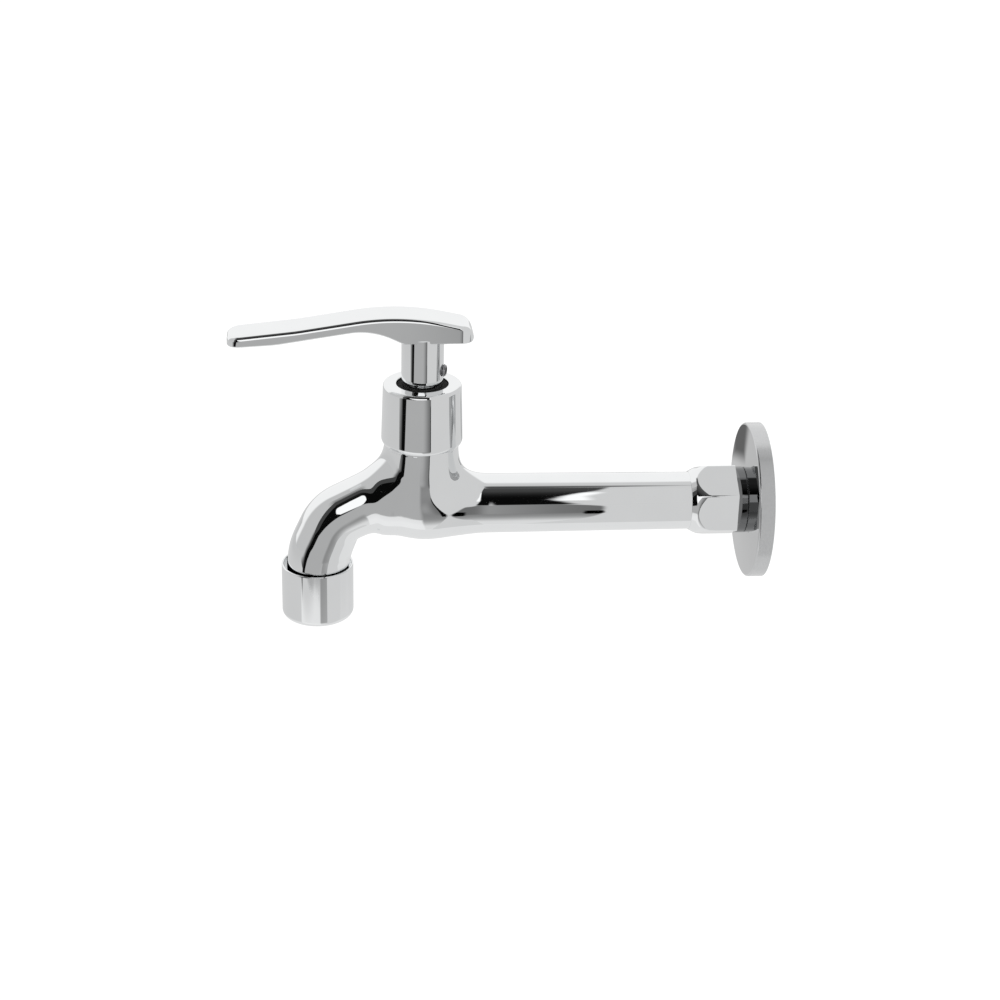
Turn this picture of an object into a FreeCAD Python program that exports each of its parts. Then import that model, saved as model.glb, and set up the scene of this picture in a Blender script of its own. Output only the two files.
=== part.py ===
"""A wall-mounted utility sink tap with a long barrel and a quarter-turn lever.

Frame in millimetres: the origin is on the inlet axis, in the plane of the wall.
+Y points into the wall, +Z up, and the spout reaches towards -Y.
"""
import FreeCAD, Part
import math
import os
from types import SimpleNamespace

import Sketcher

Vector = FreeCAD.Vector

# Driving sizes, in millimetres and degrees
SIZES = {
    # Barrel, hexagon and tail, along the inlet axis
    "wall_to_valve": 121.2,
    "barrel_valve_radius": 10.56,
    "barrel_wall_radius": 10.18,
    "belly_radius": 12.8,
    "belly_rounding": 28.0,
    "belly_reach": 20.4,
    "belly_end_radius": 9.15,
    "belly_end_reach": 15.0,
    "belly_blend": 34.0,
    "flare_length": 6.1,
    "flare_rounding": 12.0,
    "hex_across_flats": 22.67,
    "hex_length": 13.9,
    "hex_chamfer_length": 2.6,
    "hex_to_wall": 6.3,
    "thread_radius": 10.48,
    "tail_beyond_wall": 3.2,
    "tail_chamfer": 0.8,
    "relief_length": 1.9,
    "relief_depth": 0.9,
    "inlet_bore_radius": 6.0,
    "inlet_bore_past_valve": 3.5,
    # Valve neck, up from the inlet axis
    "neck_radius": 13.0,
    "neck_height": 24.0,
    "neck_bottom": 12.3,
    "neck_bottom_rounding": 12.0,
    "seat_height": 7.2,
    "seat_hole_radius": 3.5,
    "chamber_radius": 10.2,
    "chamber_height": 11.2,
    "port_near": 8.2,
    "port_far": 11.6,
    "port_width": 9.0,
    "port_bottom": 0.5,
    "port_rise": 1.8,
    # Spout
    "spout_reach": 36.8,
    "spout_radius": 10.8,
    "spout_start_height": 8.7,
    "spout_start_reach": 4.0,
    "spout_bend_reach": 31.0,
    "spout_bend_drop": 5.6,
    "spout_bend_rounding": 13.0,
    "spout_knee_reach": 35.9,
    "spout_knee_drop": 17.2,
    "spout_knee_rounding": 25.0,
    "spout_blend": 5.0,
    "barrel_blend": 5.0,
    "throat_blend": 5.0,
    "spout_bore_radius": 6.5,
    "spout_bore_start": 10.5,
    # Spout end and aerator, down from the inlet axis
    "spigot_radius": 11.0,
    "spigot_length": 7.4,
    "spigot_bottom": 33.0,
    "spigot_bore_radius": 8.2,
    "spout_end_depth": 0.9,
    "shell_bottom": 42.5,
    "shell_radius": 12.74,
    "shell_length": 20.1,
    "shell_mouth_radius": 12.0,
    "shell_bottom_rounding": 2.2,
    "shell_rim_rounding": 0.35,
    "gasket_thickness": 1.6,
    "gasket_inner_radius": 8.3,
    "insert_flange_radius": 10.6,
    "insert_flange_thickness": 1.6,
    "insert_radius": 9.7,
    "insert_wall": 1.1,
    "insert_ledge": 0.7,
    "insert_recess": 0.6,
    "jet_plate_drop": 0.2,
    "jet_plate_thickness": 1.4,
    "jet_hole_radius": 0.6,
    "jet_ring_inner": 3.0,
    "jet_ring_outer": 5.6,
    "strainer_height": 3.6,
    "strainer_top_radius": 3.0,
    "strainer_wall": 0.6,
    "strainer_rim_height": 0.8,
    "strainer_hole_radius": 0.5,
    "strainer_cone_gap": 0.5,
    "screen_thickness": 0.3,
    "screen_spacing": 0.5,
    "screen_hole_step": 2.1,
    "screen_hole_radius": 0.6,
    "grid_thickness": 2.0,
    "grid_hole_step": 2.1,
    "grid_hole_radius": 0.85,
    # Wall flange
    "flange_radius": 27.5,
    "flange_depth": 5.5,
    "flange_sheet": 1.0,
    "flange_rim_rounding": 0.8,
    "flange_hole_clearance": 0.4,
    # Bonnet cap
    "cap_bottom_radius": 14.25,
    "cap_top_radius": 13.6,
    "cap_bottom_height": 22.8,
    "cap_top_height": 46.0,
    "cap_hole_radius": 9.0,
    "cap_top_wall": 2.8,
    "cap_top_rounding": 2.5,
    "cap_bottom_rounding": 0.7,
    "cap_wall": 1.4,
    "cap_thread_height": 5.0,
    "neck_cap_gap": 0.2,
    "waist_gap": 0.6,
    # Headwork
    "housing_skirt_radius": 8.9,
    "housing_skirt_gap": 1.4,
    "housing_hex_across_flats": 21.0,
    "housing_hex_height": 5.2,
    "housing_neck_radius": 9.5,
    "housing_neck_height": 6.5,
    "housing_washer_thickness": 0.8,
    "window_width": 7.0,
    "disc_radius": 7.9,
    "disc_thickness": 2.8,
    "disc_opening_inner": 1.6,
    "disc_opening_outer": 5.9,
    "disc_opening_crown": 0.5,
    "disc_seal_width": 1.2,
    "disc_seal_thickness": 2.0,
    "drive_bar_height": 3.8,
    "drive_bar_width": 4.9,
    "drive_slot_depth": 1.1,
    "thrust_washer_thickness": 0.5,
    "spindle_radius": 4.55,
    "spline_radius": 3.9,
    "spline_depth": 0.35,
    "spline_bottom": 38.8,
    "spline_top": 47.5,
    "spindle_tip_radius": 3.4,
    "spindle_top": 53.5,
    "ring_groove_depth": 1.45,
    "ring_low_height": 25.5,
    "ring_high_height": 30.5,
    "ring_groove_height": 1.9,
    "clip_thickness": 0.8,
    "clip_radius": 6.3,
    "clip_groove_depth": 0.75,
    "clip_mouth": 5.5,
    "bar_end_gap": 0.6,
    # Lever handle, up from the inlet axis and along from the valve axis
    "hub_radius": 7.4,
    "hub_bottom": 38.5,
    "lever_width": 14.0,
    "lever_underside": 62.9,
    "lever_tip_reach": 66.4,
    "lever_tip_underside": 61.97,
    "lever_tip_thickness": 3.0,
    "lever_back_reach": 17.8,
    "lever_back_height": 66.4,
    "lever_back_rounding": 3.0,
    "lever_crown_height": 73.4,
    "lever_crown_reach": 7.8,
    "lever_crown_rounding": 82.0,
    "lever_sweep_height": 67.33,
    "lever_sweep_reach": 42.7,
    "lever_sweep_rounding": 80.0,
    "lever_throat_height": 68.56,
    "lever_throat_reach": 17.8,
    "lever_throat_rounding": 25.0,
    "lever_under_sweep_height": 62.9,
    "lever_under_sweep_reach": 50.3,
    "lever_under_sweep_rounding": 60.0,
    "lever_corner_radius": 4.6,
    "lever_root_inset": 0.4,
    "lever_root_overlap": 1.0,
    "lever_socket_gap": 0.5,
    "bush_radius": 5.35,
    "bush_short": 0.3,
    "bush_inset": 0.5,
    "set_screw_drop": 2.5,
    "set_screw_radius": 2.45,
    "set_screw_stand": 1.0,
    "set_screw_turn": 17.0,
    "set_screw_socket_flats": 2.5,
    "set_screw_socket_depth": 1.8,
    # Clearances
    "screw_clearance": 0.05,
    "running_clearance": 0.05,
    "seat_clearance": 0.1,
    "hex_corner_clearance": 0.3,
}
SPLINE_TEETH = 20
INNER_JET_HOLES = 8
OUTER_JET_HOLES = 14
STRAINER_HOLES = 12
HOLE_RINGS = 3
HOLES_PER_RING = 6
DISC_OPENING_SPREAD = 36
SEAM_REACH = 0.95


class Size:
    """A number together with the spreadsheet expression that gives it."""

    def __init__(self, value, text):
        self.value = value
        self.text = text

    def joined(self, sign, other, value):
        return Size(value, f"({self.text} {sign} {as_size(other).text})")

    def __add__(self, other):
        return self.joined("+", other, self.value + as_size(other).value)

    def __sub__(self, other):
        return self.joined("-", other, self.value - as_size(other).value)

    def __mul__(self, other):
        return self.joined("*", other, self.value * as_size(other).value)

    def __truediv__(self, other):
        return self.joined("/", other, self.value / as_size(other).value)

    def __neg__(self):
        return Size(-self.value, f"(0 - {self.text})")


def as_size(number):
    if isinstance(number, Size):
        return number
    return Size(float(number), repr(float(number)))


def arctangent(rise, run):
    slope = rise / run
    return Size(math.degrees(math.atan(slope.value)), f"(atan({slope.text}) / 1 deg)")


doc = FreeCAD.newDocument("sink_tap")
sheet = doc.addObject("Spreadsheet::Sheet", "Sizes")
for row, (name, value) in enumerate(SIZES.items(), start=1):
    sheet.set(f"A{row}", name)
    sheet.set(f"B{row}", str(value))
    sheet.setAlias(f"B{row}", name)
doc.recompute()
s = SimpleNamespace(**{name: Size(value, f"Sizes.{name}") for name, value in SIZES.items()})


# Ways of making a sketch and a feature

def bind(owner, path, size):
    """Set a property from the sheet."""
    owner.setExpression(path, as_size(size).text)


def new_body(label):
    body = doc.addObject("PartDesign::Body", label)
    body.Label = label
    return body


def at_valve(body):
    bind(body, "Placement.Base.y", -s.wall_to_valve)


def at_outlet(body):
    bind(body, "Placement.Base.y", -(s.wall_to_valve + s.spout_reach))


def new_sketch(body, name, plane, lift=None):
    """A sketch on one of the body's own planes, raised along that plane's normal."""
    sketch = body.newObject("Sketcher::SketchObject", f"{body.Label}_{name}")
    support = [face for face in body.Origin.OriginFeatures if face.Role == plane]
    sketch.AttachmentSupport = (support[0], [""])
    sketch.MapMode = "FlatFace"
    if lift is not None:
        bind(sketch, "AttachmentOffset.Base.z", lift)
    return sketch


def fix_point(sketch, geometry, end, point):
    """Tie one end of a piece of geometry to its two coordinates in the sheet."""
    for kind, coordinate in (("DistanceX", point[0]), ("DistanceY", point[1])):
        size = as_size(coordinate)
        tie = sketch.addConstraint(Sketcher.Constraint(kind, -1, 1, geometry, end, size.value))
        sketch.setExpression(f"Constraints[{tie}]", size.text)


def numbers(point):
    return Vector(as_size(point[0]).value, as_size(point[1]).value, 0)


def rounded_ends(before, corner, after, radius):
    """Where an arc of this radius meets the two sides of a corner, and its middle."""
    towards = (before - corner).normalize()
    away = (after - corner).normalize()
    half = math.acos(max(-1.0, min(1.0, towards.dot(away)))) / 2
    reach = radius / math.tan(half)
    bisector = (towards + away).normalize()
    middle = corner + bisector * (radius / math.sin(half) - radius)
    return corner + towards * reach, middle, corner + away * reach


def draw(sketch, points, closed=True):
    """Straight sides through points. A point (u, v, radius) is a rounded corner."""
    count = len(points)
    places = [numbers(point) for point in points]
    starts = list(places)
    ends = list(places)
    arcs = {}
    for index, point in enumerate(points):
        if len(point) > 2:
            before = places[index - 1]
            after = places[(index + 1) % count]
            radius = as_size(point[2]).value
            start, middle, end = rounded_ends(before, places[index], after, radius)
            starts[index] = start
            ends[index] = end
            arcs[index] = Part.Arc(start, middle, end)
    sides = []
    for index in range(count if closed else count - 1):
        following = (index + 1) % count
        sides.append(sketch.addGeometry(Part.LineSegment(ends[index], starts[following])))
    for index, point in enumerate(points):
        side_in = sides[index - 1] if closed or index > 0 else None
        side_out = sides[index] if index < len(sides) else None
        if index not in arcs:
            if side_in is not None and side_out is not None:
                sketch.addConstraint(Sketcher.Constraint("Coincident", side_in, 2, side_out, 1))
            if side_out is not None:
                fix_point(sketch, side_out, 1, point)
            else:
                fix_point(sketch, side_in, 2, point)
            continue
        arc = sketch.addGeometry(arcs[index])
        corner = sketch.addGeometry(Part.Point(places[index]), True)
        fix_point(sketch, corner, 1, point)
        sketch.addConstraint(Sketcher.Constraint("PointOnObject", corner, 1, side_in))
        sketch.addConstraint(Sketcher.Constraint("PointOnObject", corner, 1, side_out))
        first = (sketch.getPoint(arc, 1) - starts[index]).Length < (
            sketch.getPoint(arc, 2) - starts[index]).Length
        near_end, far_end = (1, 2) if first else (2, 1)
        sketch.addConstraint(Sketcher.Constraint("Tangent", side_in, 2, arc, near_end))
        sketch.addConstraint(Sketcher.Constraint("Tangent", arc, far_end, side_out, 1))
        tie = sketch.addConstraint(Sketcher.Constraint("Radius", arc, as_size(point[2]).value))
        sketch.setExpression(f"Constraints[{tie}]", as_size(point[2]).text)


def draw_circle(sketch, centre, radius):
    size = as_size(radius)
    ring = sketch.addGeometry(Part.Circle(numbers(centre), Vector(0, 0, 1), size.value))
    fix_point(sketch, ring, 3, centre)
    tie = sketch.addConstraint(Sketcher.Constraint("Radius", ring, size.value))
    sketch.setExpression(f"Constraints[{tie}]", size.text)


def hexagon(across_flats, turn=0.0):
    """Six corners round the origin."""
    radius = across_flats / (2 * math.cos(math.pi / 6))
    corners = []
    for index in range(6):
        angle = math.radians(60 * index + turn)
        corners.append((radius * math.cos(angle), radius * math.sin(angle)))
    return corners


def rectangle(left, bottom, right, top):
    return [(left, bottom), (right, bottom), (right, top), (left, top)]


def turned(body, name, points, cut=False, about_y=False):
    """Material turned on, or cut from, the body round its Z axis, or round Y."""
    sketch = new_sketch(body, name, "YZ_Plane" if about_y else "XZ_Plane")
    draw(sketch, points)
    kind = "Groove" if cut else "Revolution"
    feature = body.newObject(f"PartDesign::{kind}", f"{body.Label}_{name}_turned")
    feature.Profile = (sketch, [""])
    feature.ReferenceAxis = (sketch, ["H_Axis" if about_y else "V_Axis"])
    feature.Angle = 360.0
    body.Tip = feature
    return feature


def raised(body, name, sketch, length, both_ways=False, down=False):
    feature = body.newObject("PartDesign::Pad", f"{body.Label}_{name}_pad")
    feature.Profile = (sketch, [""])
    bind(feature, "Length", length)
    if both_ways:
        feature.SideType = "Symmetric"
    feature.Reversed = down
    body.Tip = feature
    return feature


def sunk(body, name, sketch, depth, both_ways=False, up=False):
    feature = body.newObject("PartDesign::Pocket", f"{body.Label}_{name}_pocket")
    feature.Profile = (sketch, [""])
    bind(feature, "Length", depth)
    if both_ways:
        feature.SideType = "Symmetric"
    feature.Reversed = up
    body.Tip = feature
    return feature


def repeated(body, name, feature, count):
    """Copies of a feature round the body's Z axis."""
    doc.recompute()
    pattern = body.newObject("PartDesign::PolarPattern", f"{body.Label}_{name}_pattern")
    pattern.Originals = [feature]
    axis = [line for line in body.Origin.OriginFeatures if line.Role == "Z_Axis"]
    pattern.Axis = (axis[0], [""])
    pattern.Angle = 360.0
    pattern.Occurrences = count
    body.Tip = pattern
    return pattern


def ring_of_holes(body, name, height, depth, pitch_radius, hole_radius, count):
    """Round holes on a circle, cut down from this height."""
    sketch = new_sketch(body, name, "XY_Plane", height)
    draw_circle(sketch, (pitch_radius, 0), hole_radius)
    hole = sunk(body, name, sketch, depth)
    return repeated(body, name, hole, count)


def washer(label, inner, outer, bottom, top):
    body = new_body(label)
    turned(body, "ring", rectangle(inner, bottom, outer, top))
    return body


# The casting

def spout_route(start_reach, start_height):
    """The middle line of the spout, from the valve neck down to the spigot."""
    spigot_top = -(s.spigot_bottom - s.spigot_length)
    return [
        (-start_reach, start_height),
        (-s.spout_bend_reach, -s.spout_bend_drop, s.spout_bend_rounding),
        (-s.spout_knee_reach, -s.spout_knee_drop, s.spout_knee_rounding),
        (-s.spout_reach, spigot_top - s.spout_end_depth),
    ]


def spout_pipe(body, name, start_reach, start_height, radius, cut=False):
    """A round section swept along the spout's middle line."""
    run = s.spout_bend_reach - s.spout_start_reach
    drop = s.spout_start_height + s.spout_bend_drop
    route = new_sketch(body, f"{name}_route", "YZ_Plane")
    draw(route, spout_route(start_reach, start_height), closed=False)
    section = new_sketch(body, f"{name}_section", "XZ_Plane")
    section.AttachmentOffset = FreeCAD.Placement(Vector(0, 0, 0), FreeCAD.Rotation(Vector(1, 0, 0), 1))
    bind(section, "AttachmentOffset.Base.y", start_height)
    bind(section, "AttachmentOffset.Base.z", start_reach)
    bind(section, "AttachmentOffset.Rotation.Angle", arctangent(drop, run))
    draw_circle(section, (0, 0), radius)
    doc.recompute()
    kind = "SubtractivePipe" if cut else "AdditivePipe"
    pipe = body.newObject(f"PartDesign::{kind}", f"{body.Label}_{name}_pipe")
    pipe.Profile = (section, [""])
    pipe.Spine = (route, [""])
    body.Tip = pipe
    return pipe


def blend(body, name, radius, belongs):
    """Round the seam between two of the casting's forms, found by where it lies."""
    doc.recompute()
    base = body.Tip
    seam = []
    for number, edge in enumerate(base.Shape.Edges, start=1):
        if isinstance(edge.Curve, Part.BSplineCurve) and belongs(edge.BoundBox):
            seam.append(f"Edge{number}")
    rounding = body.newObject("PartDesign::Fillet", f"{body.Label}_{name}_fillet")
    rounding.Base = (base, seam)
    bind(rounding, "Radius", radius)
    body.Tip = rounding


def make_tap_body():
    body = new_body("tap_body")
    at_valve(body)
    hex_back = s.wall_to_valve - s.hex_to_wall
    hex_front = hex_back - s.hex_length
    tail_end = s.wall_to_valve + s.tail_beyond_wall
    flat_radius = s.hex_across_flats / 2
    corner_radius = flat_radius / math.cos(math.pi / 6)
    turned(body, "barrel", [
        (-s.belly_end_reach, 0),
        (-s.belly_end_reach, s.belly_end_radius),
        (0, s.belly_radius, s.belly_rounding),
        (s.belly_reach, s.barrel_valve_radius, s.belly_blend),
        (hex_front - s.flare_length, s.barrel_wall_radius, s.flare_rounding),
        (hex_front, flat_radius),
        (hex_back, flat_radius),
        (hex_back, s.thread_radius - s.relief_depth),
        (hex_back + s.relief_length, s.thread_radius - s.relief_depth),
        (hex_back + s.relief_length, s.thread_radius),
        (tail_end - s.tail_chamfer, s.thread_radius),
        (tail_end, s.thread_radius - s.tail_chamfer),
        (tail_end, 0),
    ], about_y=True)
    turned(body, "neck", [
        (0, -s.neck_bottom),
        (s.neck_radius, -s.neck_bottom, s.neck_bottom_rounding),
        (s.neck_radius, s.neck_height),
        (0, s.neck_height),
    ])
    spout_pipe(body, "spout", s.spout_start_reach, s.spout_start_height, s.spout_radius)
    neck = s.neck_radius.value
    blend(body, "spout", s.spout_blend, lambda box: box.ZMax > neck)
    blend(body, "barrel", s.barrel_blend, lambda box: box.YMax > neck * SEAM_REACH)
    blend(body, "throat", s.throat_blend, lambda box: box.YMin < -neck and box.ZMin < -neck / 2)
    spigot = new_sketch(body, "spigot", "XY_Plane", -s.spigot_bottom)
    draw_circle(spigot, (0, -s.spout_reach), s.spigot_radius)
    raised(body, "spigot", spigot, s.spigot_length)
    flats = new_sketch(body, "hexagon", "XZ_Plane", -hex_back)
    draw(flats, hexagon(s.hex_across_flats, turn=30))
    raised(body, "hexagon", flats, s.hex_length)
    turned(body, "hex_chamfer", [
        (hex_front, flat_radius),
        (hex_front + s.hex_chamfer_length, corner_radius),
        (hex_front + s.hex_chamfer_length, corner_radius + s.hex_chamfer_length),
        (hex_front, corner_radius + s.hex_chamfer_length),
    ], cut=True, about_y=True)
    # The ways for the water: in through the barrel, up through the seat, down through the spout
    turned(body, "inlet_bore", rectangle(-s.inlet_bore_past_valve, 0, tail_end, s.inlet_bore_radius),
           cut=True, about_y=True)
    turned(body, "seat_hole", rectangle(0, 0, s.seat_hole_radius, s.seat_height), cut=True)
    chamber_top = s.seat_height + s.chamber_height
    turned(body, "chamber", [
        (0, s.seat_height),
        (s.chamber_radius, s.seat_height),
        (s.chamber_radius, chamber_top),
        (s.thread_radius, chamber_top),
        (s.thread_radius, s.neck_height),
        (0, s.neck_height),
    ], cut=True)
    port_top = s.seat_height + s.port_rise
    port = new_sketch(body, "port", "XY_Plane", port_top)
    half_port = s.port_width / 2
    draw(port, rectangle(-half_port, -s.port_far, half_port, -s.port_near))
    sunk(body, "port", port, port_top - s.port_bottom)
    slope = (s.spout_start_height + s.spout_bend_drop) / (s.spout_bend_reach - s.spout_start_reach)
    bore_height = s.spout_start_height - slope * (s.spout_bore_start - s.spout_start_reach)
    spout_pipe(body, "spout_bore", s.spout_bore_start, bore_height, s.spout_bore_radius, cut=True)
    spigot_bore = new_sketch(body, "spigot_bore", "XY_Plane", -s.spigot_bottom + s.spigot_length)
    draw_circle(spigot_bore, (0, -s.spout_reach), s.spigot_bore_radius)
    sunk(body, "spigot_bore", spigot_bore, s.spigot_length)
    return body


# The covers

def make_wall_flange():
    """A pressed cover: a nearly flat face, and a rim that stands against the wall."""
    body = new_body("wall_flange")
    face_inner = s.thread_radius + s.flange_hole_clearance
    turned(body, "cover", [
        (-s.hex_to_wall, face_inner),
        (-s.flange_depth, s.flange_radius, s.flange_rim_rounding),
        (0, s.flange_radius),
        (0, s.flange_radius - s.flange_sheet),
        (-s.flange_depth + s.flange_sheet, s.flange_radius - s.flange_sheet),
        (-s.hex_to_wall + s.flange_sheet, face_inner),
    ], about_y=True)
    return body


def make_bonnet_cap():
    """The round cap, with a threaded waist inside that grips the headwork's neck."""
    body = new_body("bonnet_cap")
    at_valve(body)
    hex_corner = s.housing_hex_across_flats / (2 * math.cos(math.pi / 6))
    skirt_inner = s.neck_radius + s.neck_cap_gap
    waist_bottom = s.neck_height + s.housing_washer_thickness + s.housing_hex_height + s.waist_gap
    waist_top = waist_bottom + s.cap_thread_height
    hex_room = hex_corner + s.hex_corner_clearance
    turned(body, "cup", [
        (skirt_inner, s.cap_bottom_height),
        (s.cap_bottom_radius, s.cap_bottom_height, s.cap_bottom_rounding),
        (s.cap_top_radius, s.cap_top_height, s.cap_top_rounding),
        (s.cap_hole_radius, s.cap_top_height),
        (s.cap_hole_radius, s.cap_top_height - s.cap_top_wall),
        (s.cap_top_radius - s.cap_wall, s.cap_top_height - s.cap_top_wall),
        (s.cap_top_radius - s.cap_wall, waist_top),
        (s.housing_neck_radius + s.screw_clearance, waist_top),
        (s.housing_neck_radius + s.screw_clearance, waist_bottom),
        (hex_room, waist_bottom),
        (hex_room, s.neck_height + s.housing_washer_thickness),
        (skirt_inner, s.neck_height + s.housing_washer_thickness),
    ])
    return body


# The headwork inside the neck

def stack():
    """Heights of the pieces piled on the seat."""
    heights = SimpleNamespace()
    heights.seal_top = s.seat_height + s.disc_seal_thickness
    heights.fixed_top = heights.seal_top + s.disc_thickness
    heights.moving_top = heights.fixed_top + s.disc_thickness
    heights.bar_top = heights.moving_top + s.drive_bar_height
    heights.shoulder = heights.bar_top + s.thrust_washer_thickness
    heights.hex_bottom = s.neck_height + s.housing_washer_thickness
    heights.hex_top = heights.hex_bottom + s.housing_hex_height
    heights.housing_top = heights.hex_top + s.housing_neck_height
    return heights


def make_cartridge_housing():
    body = new_body("cartridge_housing")
    at_valve(body)
    level = stack()
    thread = s.thread_radius - s.screw_clearance
    disc_room = s.disc_radius + s.seat_clearance
    chamber_top = s.seat_height + s.chamber_height
    spindle_bore = s.spindle_radius + s.running_clearance
    turned(body, "shell", [
        (disc_room, s.seat_height + s.housing_skirt_gap),
        (s.housing_skirt_radius, s.seat_height + s.housing_skirt_gap),
        (s.housing_skirt_radius, chamber_top + s.seat_clearance),
        (thread, chamber_top + s.seat_clearance),
        (thread, level.hex_bottom),
        (s.housing_neck_radius, level.hex_bottom),
        (s.housing_neck_radius, level.housing_top),
        (spindle_bore, level.housing_top),
        (spindle_bore, level.shoulder),
        (disc_room, level.shoulder),
    ])
    flats = new_sketch(body, "hexagon", "XY_Plane", level.hex_bottom)
    draw(flats, hexagon(s.housing_hex_across_flats))
    draw_circle(flats, (0, 0), s.housing_neck_radius - s.screw_clearance)
    raised(body, "hexagon", flats, s.housing_hex_height)
    window = new_sketch(body, "window", "XY_Plane", level.bar_top - s.seat_clearance)
    half_window = s.window_width / 2
    reach = s.housing_skirt_radius + s.housing_skirt_gap
    draw(window, rectangle(-half_window, -reach, half_window, reach))
    sunk(body, "window", window, s.drive_bar_height - s.seat_clearance * 2)
    return body


def make_spindle():
    body = new_body("spindle")
    at_valve(body)
    level = stack()
    root = s.spindle_radius - s.ring_groove_depth
    clip_bottom = level.housing_top + s.seat_clearance
    clip_top = clip_bottom + s.clip_thickness
    clip_root = s.spindle_radius - s.clip_groove_depth
    profile = [(0, level.moving_top), (s.spindle_radius, level.moving_top)]
    for middle in (s.ring_low_height, s.ring_high_height):
        low = middle - s.ring_groove_height / 2
        high = middle + s.ring_groove_height / 2
        profile += [(s.spindle_radius, low), (root, low), (root, high), (s.spindle_radius, high)]
    profile += [
        (s.spindle_radius, clip_bottom),
        (clip_root, clip_bottom),
        (clip_root, clip_top),
        (s.spindle_radius, clip_top),
        (s.spindle_radius, s.spline_bottom - s.spline_depth),
        (s.spline_radius, s.spline_bottom),
        (s.spline_radius, s.spline_top),
        (s.spindle_tip_radius, s.spline_top),
        (s.spindle_tip_radius, s.spindle_top),
        (0, s.spindle_top),
    ]
    turned(body, "shaft", profile)
    bar = new_sketch(body, "drive_bar", "XY_Plane", level.moving_top - s.drive_slot_depth)
    half_bar = s.drive_bar_width / 2
    half_length = s.disc_radius - s.bar_end_gap
    draw(bar, rectangle(-half_length, -half_bar, half_length, half_bar))
    raised(body, "drive_bar", bar, s.drive_slot_depth + s.drive_bar_height)
    tooth = new_sketch(body, "spline_gap", "XY_Plane", s.spline_top)
    half_gap = s.spline_depth
    root_radius = s.spline_radius - s.spline_depth
    draw(tooth, [(root_radius, 0), (s.spline_radius + s.spline_depth, -half_gap * 2),
                 (s.spline_radius + s.spline_depth, half_gap * 2)])
    gap = sunk(body, "spline_gap", tooth, s.spline_top - s.spline_bottom)
    repeated(body, "spline_gap", gap, SPLINE_TEETH)
    return body


def make_spindle_o_rings():
    """Two rubber rings in the spindle's grooves."""
    root = s.spindle_radius - s.ring_groove_depth
    section = (s.ring_groove_depth - s.running_clearance) / 2
    rings = []
    for name, middle in (("low", s.ring_low_height), ("high", s.ring_high_height)):
        ring = doc.addObject("Part::Torus", f"{name}_ring")
        bind(ring, "Radius1", root + s.running_clearance + section)
        bind(ring, "Radius2", section)
        bind(ring, "Placement.Base.z", middle)
        rings.append(ring)
    pair = doc.addObject("Part::Compound", "spindle_o_rings")
    pair.Links = rings
    pair.Label = "spindle_o_rings"
    at_valve(pair)
    return pair


def make_retaining_clip():
    body = new_body("retaining_clip")
    at_valve(body)
    level = stack()
    bottom = level.housing_top + s.seat_clearance
    inner = s.spindle_radius - s.clip_groove_depth + s.running_clearance
    turned(body, "ring", rectangle(inner, bottom, s.clip_radius, bottom + s.clip_thickness))
    mouth = new_sketch(body, "mouth", "XY_Plane", bottom + s.clip_thickness)
    half_mouth = s.clip_mouth / 2
    draw(mouth, rectangle(-half_mouth, 0, half_mouth, s.clip_radius + s.clip_thickness))
    sunk(body, "mouth", mouth, s.clip_thickness)
    return body


def disc_openings(body, name, top, turn):
    """Two opposite openings through a ceramic disc."""
    spread = math.radians(DISC_OPENING_SPREAD)
    sketch = new_sketch(body, name, "XY_Plane", top)
    for side in (0, 180):
        angle = math.radians(turn + side)
        corners = []
        for radius, offset in ((s.disc_opening_inner, -spread), (s.disc_opening_outer, -spread),
                               (s.disc_opening_outer + s.disc_opening_crown, 0),
                               (s.disc_opening_outer, spread), (s.disc_opening_inner, spread)):
            corners.append((radius * math.cos(angle + offset), radius * math.sin(angle + offset)))
        draw(sketch, corners)
    sunk(body, name, sketch, s.disc_thickness)


def make_disc(label, bottom, turn, slotted):
    body = new_body(label)
    at_valve(body)
    top = bottom + s.disc_thickness
    turned(body, "plate", rectangle(0, bottom, s.disc_radius, top))
    disc_openings(body, "openings", top, turn)
    if slotted:
        slot = new_sketch(body, "drive_slot", "XY_Plane", top)
        half_slot = s.drive_bar_width / 2 + s.running_clearance
        reach = s.disc_radius + s.bar_end_gap
        draw(slot, rectangle(-reach, -half_slot, reach, half_slot))
        sunk(body, "drive_slot", slot, s.drive_slot_depth + s.running_clearance)
    return body


def make_headwork():
    level = stack()
    make_cartridge_housing()
    make_spindle()
    make_spindle_o_rings()
    make_retaining_clip()
    make_disc("fixed_disc", level.seal_top, 0, slotted=False)
    make_disc("moving_disc", level.fixed_top, 90, slotted=True)
    at_valve(washer("disc_seal", s.disc_radius - s.disc_seal_width - s.seat_clearance,
                    s.disc_radius - s.seat_clearance, s.seat_height, level.seal_top))
    at_valve(washer("thrust_washer", s.spindle_radius + s.seat_clearance,
                    s.disc_radius - s.seat_clearance, level.bar_top, level.shoulder))
    at_valve(washer("housing_washer", s.thread_radius + s.seat_clearance,
                    s.neck_radius - s.housing_washer_thickness, s.neck_height, level.hex_bottom))


# The handle

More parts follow.
